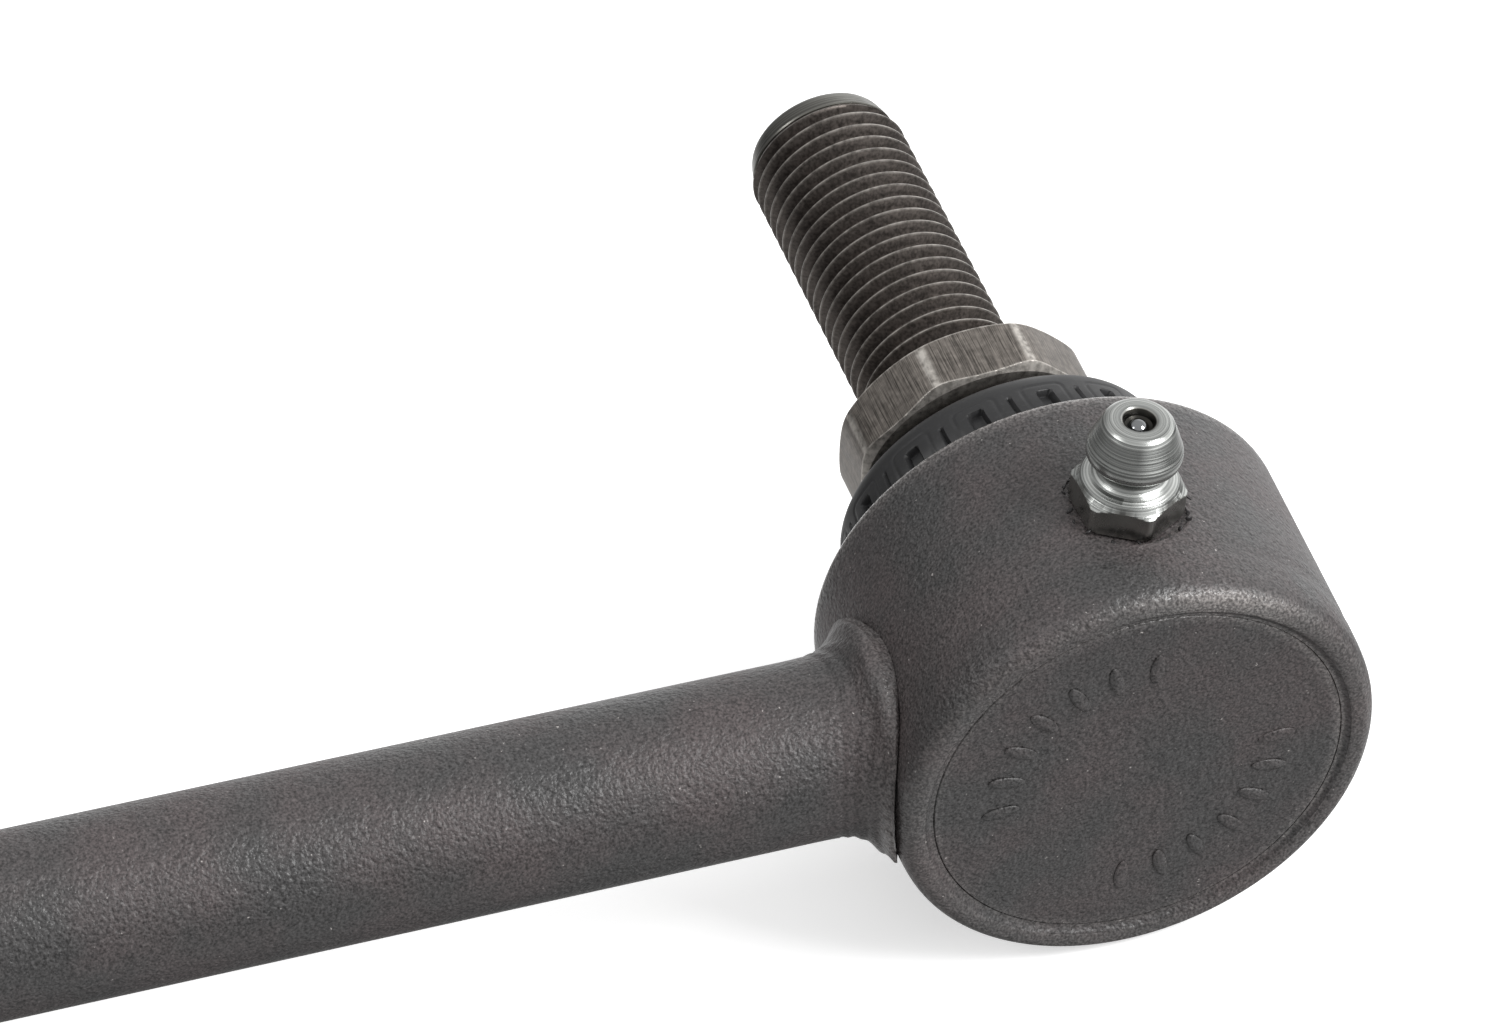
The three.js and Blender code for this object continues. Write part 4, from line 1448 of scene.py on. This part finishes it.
def flake_tree() -> bpy.types.NodeTree:
    """Makes the tree that stands torn flakes of coating round a circle in the xz plane, in millimetres.

    Returns:
        The tree, made the first time that it is asked for.
    """
    found = bpy.data.node_groups.get("torn_flakes")
    if found:
        return found
    tree, given = new_tree(
        "torn_flakes",
        [("Radius", "NodeSocketFloat"), ("Size", "NodeSocketFloat"), ("Flakes", "NodeSocketInt"),
         ("Seed", "NodeSocketInt"), ("Material", "NodeSocketMaterial")],
    )
    get = given.outputs
    ring = add_node(tree, "GeometryNodeCurvePrimitiveCircle", Resolution=96, Radius=get["Radius"])
    laid = add_node(tree, "GeometryNodeTransform", ring, Rotation=(math.radians(90), 0, 0))
    points = add_node(tree, "GeometryNodeCurveToPoints", laid, get["Flakes"])
    drop = add_node(tree, "FunctionNodeRandomValue", 0.0, 1.0, Seed=get["Seed"], data_type="FLOAT")
    gone = add_node(tree, "FunctionNodeCompare", drop, 0.5, data_type="FLOAT", operation="LESS_THAN")
    kept = add_node(tree, "GeometryNodeDeleteGeometry", points, gone, domain="POINT")
    shift = add_node(tree, "FunctionNodeRandomValue", (-0.22, -0.05, -0.22), (0.22, 0.12, 0.22),
                     Seed=get["Seed"], data_type="FLOAT_VECTOR")
    moved = add_node(tree, "GeometryNodeSetPosition", kept, Offset=shift)
    flake = add_node(tree, "GeometryNodeMeshIcoSphere", get["Size"], 2)
    turn = add_node(tree, "FunctionNodeRandomValue", (0.0, 0.0, 0.0), (6.28, 6.28, 6.28),
                    Seed=get["Seed"], data_type="FLOAT_VECTOR")
    size = add_node(tree, "FunctionNodeRandomValue", (0.5, 0.15, 0.3), (1.7, 0.55, 1.1),
                    Seed=get["Seed"], data_type="FLOAT_VECTOR")
    stood = add_node(tree, "GeometryNodeInstanceOnPoints", moved, Instance=flake, Rotation=turn, Scale=size)
    end_tree(tree, stood, get["Material"])
    return tree


@dataclass
class GreaseFitting:
    """The screwed-in grease fitting: hexagon, necked head, sprung check ball, and torn coating round it."""

    seat: Seat
    mark: str
    hex_turn: float = 33.0  # of the corners about the fitting, degrees
    across_flats: float = 7.0
    foot: float = 16.95
    hex_top: float = 19.0
    head_foot: float = 20.5
    head_radius: float = 3.25
    neck_radius: float = 2.25
    shank_radius: float = 2.7
    top: float = 24.5
    ball_radius: float = 0.8
    ball_height: float = 23.53
    shank_foot: float = 12.4
    spring_foot: float = 18.95
    spring_turns: float = 4.5
    spring_radius: float = 0.73
    wire_radius: float = 0.14
    spring_keep: float = 0.74  # share of its length left when the ball is pressed in
    torn_radius: float = 4.15

    def build(self) -> None:
        """Builds the fitting's pieces."""
        self.body()
        self.ball()
        self.spring()
        self.flakes()

    def body(self) -> None:
        """The body is turned from hexagon bar, and bored for the ball and its spring."""
        half = self.across_flats / 2
        corner = half / math.cos(math.pi / 6)
        shank = [(0.5, self.shank_foot), (self.shank_radius - 0.3, self.shank_foot),
                 (self.shank_radius, self.shank_foot + 0.4), (self.shank_radius, self.foot)]
        side = [(corner, h) for h in np.linspace(self.foot, self.hex_top, 22)]
        cone = [(3.3, self.hex_top + 0.42), (2.7, self.hex_top + 0.74)]
        neck = smoothed([(2.7, self.hex_top + 0.74), (self.neck_radius + 0.12, self.hex_top + 0.98),
                         (self.neck_radius - 0.02, self.hex_top + 1.25),
                         (self.neck_radius + 0.15, self.head_foot + 0.05),
                         (self.head_radius - 0.5, self.head_foot + 0.45),
                         (self.head_radius - 0.05, self.head_foot + 0.85),
                         (self.head_radius + 0.03, self.head_foot + 1.15),
                         (self.head_radius + 0.03, self.head_foot + 1.6),
                         (self.head_radius - 0.18, self.head_foot + 2.1),
                         (2.62, self.top - 0.75), (2.42, self.top - 0.3), (2.1, self.top - 0.03),
                         (1.75, self.top)], 3)
        mouth = [(1.28, self.top), (1.12, self.top - 0.08), (1.0, self.top - 0.25), (0.93, self.top - 0.5),
                 (0.72, self.top - 0.62), (0.7, self.top - 0.7), (1.05, self.top - 1.0),
                 (1.08, self.top - 1.5), (1.1, 18.5), (0.5, 18.3)]
        rows = np.array(shank + side + cone + list(map(tuple, refined(neck, 0.12))) + mouth)

        def shape(angle: np.ndarray, r: np.ndarray, h: np.ndarray) -> Grids:
            """Cuts the six flats and chamfers their top.

            Args:
                angle, r, h: Grids of angle, radius and height.

            Returns:
                Grids of radius, height and wear; the wear grid is 1 on the flats and 2 where shade is
                painted into the mouth.
            """
            sector = math.pi / 3
            off = (angle - math.radians(self.hex_turn - 90) + sector / 2) % sector - sector / 2
            flat = half / np.cos(sector / 2 - np.abs(off))
            prism = np.minimum(flat, corner - 0.1)
            bevel = half + 0.08 + (self.hex_top - h) * 1.75
            low = half + 0.3 + (h - self.foot) * 2.2
            on_hex = np.abs(r - corner) < 1e-6
            limit = np.minimum(np.minimum(prism, bevel), low)
            shaped = np.where(on_hex, limit, r)
            # mouth: the recess round the check ball, where a wear of 2 paints shade in a dark colour
            mouth = (r < 1.2) & (h > self.top - 1.6)
            flats = smooth_step(bevel - prism, 0.0, 0.08) * on_hex + 2.0 * mouth * (h < self.top - 0.05)
            return shaped, h, flats

        shell = turned(rows, 216, Edge.RING, shape)
        made = piece(f"grease_fitting_body_{self.mark}", shell, self.seat, ZINC, 26)
        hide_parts(f"grease_fitting_{self.mark}")
        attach(made, "link")

    def ball(self) -> None:
        """The check ball behind the mouth."""
        profile = arc((0, self.ball_height), self.ball_radius, -90, 90, 32)
        made = piece(f"check_ball_polished_{self.mark}", turned(profile, 64), self.seat, BALL, 60)
        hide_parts(f"check_ball_{self.mark}")
        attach(made, f"check_valve_{self.mark}")

    def spring(self) -> None:
        """The spring under the ball."""
        low, high = self.spring_foot, self.ball_height - self.ball_radius - 0.3
        values = {"Turns": self.spring_turns, "Coil Radius": self.spring_radius, "Height": high - low,
                  "Wire Radius": self.wire_radius, "Material": SPRING.material()}
        made = from_tree(f"check_spring_wound_{self.mark}", coil_tree(), values, self.seat, low, SPRING)
        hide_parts(f"check_spring_{self.mark}")
        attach(made, "link")
        tuple(self.seat.point(0, low, 0))
        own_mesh(made)

    def flakes(self) -> None:
        """Coating torn up where the fitting was screwed in after painting."""
        values = {"Radius": self.torn_radius, "Size": 0.2, "Flakes": 44, "Seed": 5,
                  "Material": CHIP.material()}
        foot = self.foot - 0.02
        made = from_tree(f"torn_coating_{self.mark}", flake_tree(), values, self.seat, foot, CHIP)
        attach(made, "link")


def from_tree(
    name: str,
    tree: bpy.types.NodeTree,
    values: dict,
    seat: Seat,
    height: float,
    finish: Finish,
    crease: float = 40,
) -> bpy.types.Object:
    """Makes a piece with a geometry tree that works in millimetres.

    Args:
        name: The piece's name.
        tree: The tree.
        values: Its inputs.
        seat: The frame that it is made in.
        height: How far it is then moved along y.
        finish: What it is dressed in.
        crease: Edges that turn by more than these degrees stay sharp.

    Returns:
        The piece, as a plain mesh at the origin.
    """
    blank = turned([(0, 0), (1, 0), (1, 1), (0, 1)], 6)
    body = piece(name, blank, seat, finish)
    modifier = body.modifiers.new(tree.name, "NODES")
    modifier.node_group = tree
    set_inputs(modifier, tree, values)
    plain(body)
    points = np.array([v.co for v in body.data.vertices]).reshape(-1, 3)
    points[:, 1] += height
    own = body.data.attributes.get(OWN) or body.data.attributes.new(OWN, "FLOAT_VECTOR", "POINT")
    own.data.foreach_set("vector", points.astype(np.float32).ravel())
    body.data.vertices.foreach_set("co", seat.place(points).astype(np.float32).ravel())
    finished_mesh(body.data, crease)
    LOG.info("%s: %d faces after its nodes", body.name, len(body.data.polygons))
    return body


# ---- Where the ends are --------------------------------------------------------------------------


def joint(name: str) -> dict:
    """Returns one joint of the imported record."""
    return next(j for j in frame["joints"] if j["name"] == name)


def ball_centre(mark: str) -> Vector:
    """Returns an end's ball centre in the row frame."""
    return Vector(joint(f"stud_{mark}_swing")["pos_m"])


def end_seat(mark: str) -> Seat:
    """Finds an end's frame: on the bar's axis, at the middle of the housing.

    Args:
        mark: The end's letter.

    Returns:
        The frame.
    """
    low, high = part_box(f"housing_{mark}")
    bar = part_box("link_bar")
    away = Vector(joint(f"stud_{mark}_swing")["axis"]).normalized()
    up = Vector((0, 0, 1))
    origin = Vector(((low.x + high.x) / 2, (bar[0].y + bar[1].y) / 2, (low.z + high.z) / 2))
    return Seat(origin, away, up.cross(away), up)


def stud_seat(mark: str) -> Seat:
    """Finds a stud's frame: y along the stud from the ball centre.

    Args:
        mark: The end's letter.

    Returns:
        The frame.
    """
    along = Vector(joint(f"stud_{mark}_spin")["axis"]).normalized()
    side = Vector(joint(f"stud_{mark}_tilt")["axis"]).normalized()
    return Seat(ball_centre(mark), along.cross(side), along, side)


def fitting_seat(mark: str, end: Seat) -> Seat:
    """Finds a grease fitting's frame: y out of the housing from its axis, z towards the cover.

    Args:
        mark: The end's letter.
        end: The end's frame.

    Returns:
        The frame.
    """
    outward = -Vector(joint(f"check_ball_{mark}_lift")["axis"]).normalized()
    low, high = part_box(f"check_ball_{mark}")
    centre = (low + high) / 2
    origin = centre - outward * (centre - end.origin).dot(outward)
    toward = -end.y
    return Seat(origin, outward.cross(toward), outward, toward)


def stud_lean(mark: str, end: Seat) -> tuple[float, float]:
    """Finds how far a stud leans at rest.

    Args:
        mark: The end's letter.
        end: The end's frame.

    Returns:
        Its lean about the end's x and z, in degrees.
    """
    along = Vector(joint(f"stud_{mark}_spin")["axis"]).normalized()
    x, y, z = (along.dot(axis) for axis in (end.x, end.y, end.z))
    lean = math.degrees(math.atan2(z, y)), math.degrees(-math.asin(x))
    LOG.info("stud %s leans %.4f and %.4f degrees", mark, *lean)
    return lean


# ---- Inner nodes, floor, light and camera --------------------------------------------------------


def dress_inner_nodes(mark: str) -> None:
    """Gives the CAD nodes that stay inside a housing their finishes.

    Args:
        mark: The end's letter.
    """
    finishes = {"upper_bearing": SOCKET, "thrust_seat": SOCKET, "preload_spring": SPRING}
    for stem, finish in finishes.items():
        node = frame["nodes"][f"{stem}_{mark}"]
        node.data.materials.clear()
        node.data.materials.append(finish.material())
        LOG.info("%s dressed in %s", node.name, finish.name)


@dataclass
class Studio:
    """A glowing white table, a sky that is bright to the right, and a soft lamp on each side of the view.

    Args:
        lamps: Each lamp's name, place and aim in metres, width in metres and power in watts.
        lens: The camera's lens in millimetres on a 36 mm sensor.
        camera_place, camera_aim: Where it stands and what it looks at, in millimetres.
        table_side: Width of the table, in metres.
    """

    lamps: tuple[tuple, ...] = (
        ("right_softbox", (0.66, -0.37, 0.67), (0.1, 0.0, 0.02), 0.38, 6.6),
        ("left_softbox", (-0.55, 0.0, 0.65), (0.1, 0.0, 0.02), 0.24, 1.2),
    )
    lens: float = 145.1
    camera_place: tuple[float, float, float] = (4.39, -270.06, 315.82)
    camera_aim: tuple[float, float, float] = (89.5, 14.9, 25.8)
    table_side: float = 6.0

    def build(self) -> None:
        """Builds the floor, the lights and the camera."""
        self.floor()
        self.sky()
        for lamp in self.lamps:
            self.lamp(*lamp)
        self.camera()

    def floor(self) -> None:
        """Lays the table just under the object. It glows, but lights nothing, as the sky below it does."""
        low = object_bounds()[0].z - 0.00002
        half = self.table_side / 2
        mesh = bpy.data.meshes.new("light_table")
        corners = [(-half, -half, low), (half, -half, low), (half, half, low), (-half, half, low)]
        mesh.from_pydata(corners, [], [(0, 1, 2, 3)])
        table = bpy.data.objects.new("light_table", mesh)
        mesh.materials.append(TABLE.material())
        bpy.context.scene.collection.objects.link(table)
        table.visible_diffuse = False
        table.visible_glossy = False
        table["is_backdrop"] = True

    def sky(self) -> None:
        """Sets a sky that is bright to the right and dim to the left, so that round metal has contrast."""
        world = bpy.data.worlds.new("studio_sky")
        world.use_nodes = True
        bpy.context.scene.world = world
        tree = world.node_tree
        place = add_node(tree, "ShaderNodeTexCoord", out=0)
        split = add_node(tree, "ShaderNodeSeparateXYZ", place, out=0).node
        level = add_node(tree, "ShaderNodeMapRange", split.outputs["X"], -0.15, 0.45, 0.3, 1.45)
        high = add_node(tree, "ShaderNodeMapRange", split.outputs["Z"], 0.25, 0.65)
        upper = add_node(tree, "ShaderNodeMix", high, level, 0.74, data_type="FLOAT")
        table = add_node(tree, "ShaderNodeMapRange", split.outputs["Z"], -0.72, -0.3, 0.98, 0.14)
        foot = add_node(tree, "ShaderNodeMapRange", split.outputs["Z"], -1.0, -0.72, 0.12, 1.0)
        front = add_node(tree, "ShaderNodeMath", table, foot, operation="MULTIPLY")
        right = add_node(tree, "ShaderNodeMapRange", split.outputs["X"], -0.35, 0.15)
        behind = add_node(tree, "ShaderNodeMapRange", split.outputs["Y"], 0.45, 0.68, 0.0, right)
        lower = add_node(tree, "ShaderNodeMix", behind, front, 1.3, data_type="FLOAT")
        below = add_node(tree, "ShaderNodeMapRange", split.outputs["Z"], -0.16, 0.0)
        light = add_node(tree, "ShaderNodeMix", below, lower, upper, data_type="FLOAT")
        back = tree.nodes["Background"]
        back.inputs["Color"].default_value = linear("#ffffff")
        tree.links.new(light, back.inputs["Strength"])

    def lamp(
        self,
        name: str,
        place: tuple[float, float, float],
        aim: tuple[float, float, float],
        side: float,
        power: float,
    ) -> None:
        """Adds one square soft lamp.

        Args:
            name: The lamp's name.
            place: Where it is, in metres.
            aim: What it points at.
            side: Its width.
            power: Its power in watts.
        """
        data = bpy.data.lights.new(name, "AREA")
        data.shape = "SQUARE"
        data.size = side
        data.energy = power
        lamp = bpy.data.objects.new(name, data)
        lamp.location = place
        lamp.rotation_euler = (Vector(aim) - Vector(place)).to_track_quat("-Z", "Y").to_euler()
        bpy.context.scene.collection.objects.link(lamp)

    def camera(self) -> None:
        """Sets the camera on end a, from above the cover's side."""
        data = bpy.data.cameras.new("view")
        data.lens = self.lens
        data.sensor_width = 36.0
        data.clip_start, data.clip_end = 0.01, 20.0
        camera = bpy.data.objects.new("view", data)
        place, aim = Vector(self.camera_place) * MM, Vector(self.camera_aim) * MM
        camera.location = place
        camera.rotation_euler = (aim - place).to_track_quat("-Z", "Y").to_euler()
        bpy.context.scene.collection.objects.link(camera)
        bpy.context.scene.camera = camera
        bpy.context.scene.view_settings.view_transform = "Standard"


# ---- The whole link ------------------------------------------------------------------------------


@dataclass
class StabilizerLink:
    """The whole link: a bar and two identical ball-joint ends."""

    marks: tuple[str, ...] = ("a", "b")

    def build(self) -> None:
        """Builds the bar and each end."""
        LinkBar().build()
        for mark in self.marks:
            self.end(mark)

    def end(self, mark: str) -> None:
        """Builds one end: housing, stud, boot and grease fitting.

        Args:
            mark: The end's letter.
        """
        seat = end_seat(mark)
        low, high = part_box(f"housing_{mark}")
        radius = (high.z - low.z) / 2 / MM
        faces = sorted(((corner - seat.origin).dot(seat.y) / MM for corner in (low, high)))
        Housing(seat, mark, radius, rim_face=faces[1], cap_face=faces[0]).build()
        ball = ball_centre(mark)
        offset = (ball - seat.origin).dot(seat.y) / MM
        around_ball = Seat(ball, seat.x, seat.y, seat.z)
        BallStud(stud_seat(mark), mark).build()
        rim = faces[1] - offset
        lean = stud_lean(mark, seat)
        DustBoot(around_ball, mark, lean, rim - Housing.recess_depth, rim_height=rim).build()
        GreaseFitting(fitting_seat(mark, seat), mark).build()
        dress_inner_nodes(mark)


def main() -> None:
    logging.basicConfig(level=logging.INFO, format="%(message)s")
    StabilizerLink().build()
    Studio().build()


if __name__ == "__main__":
    main()
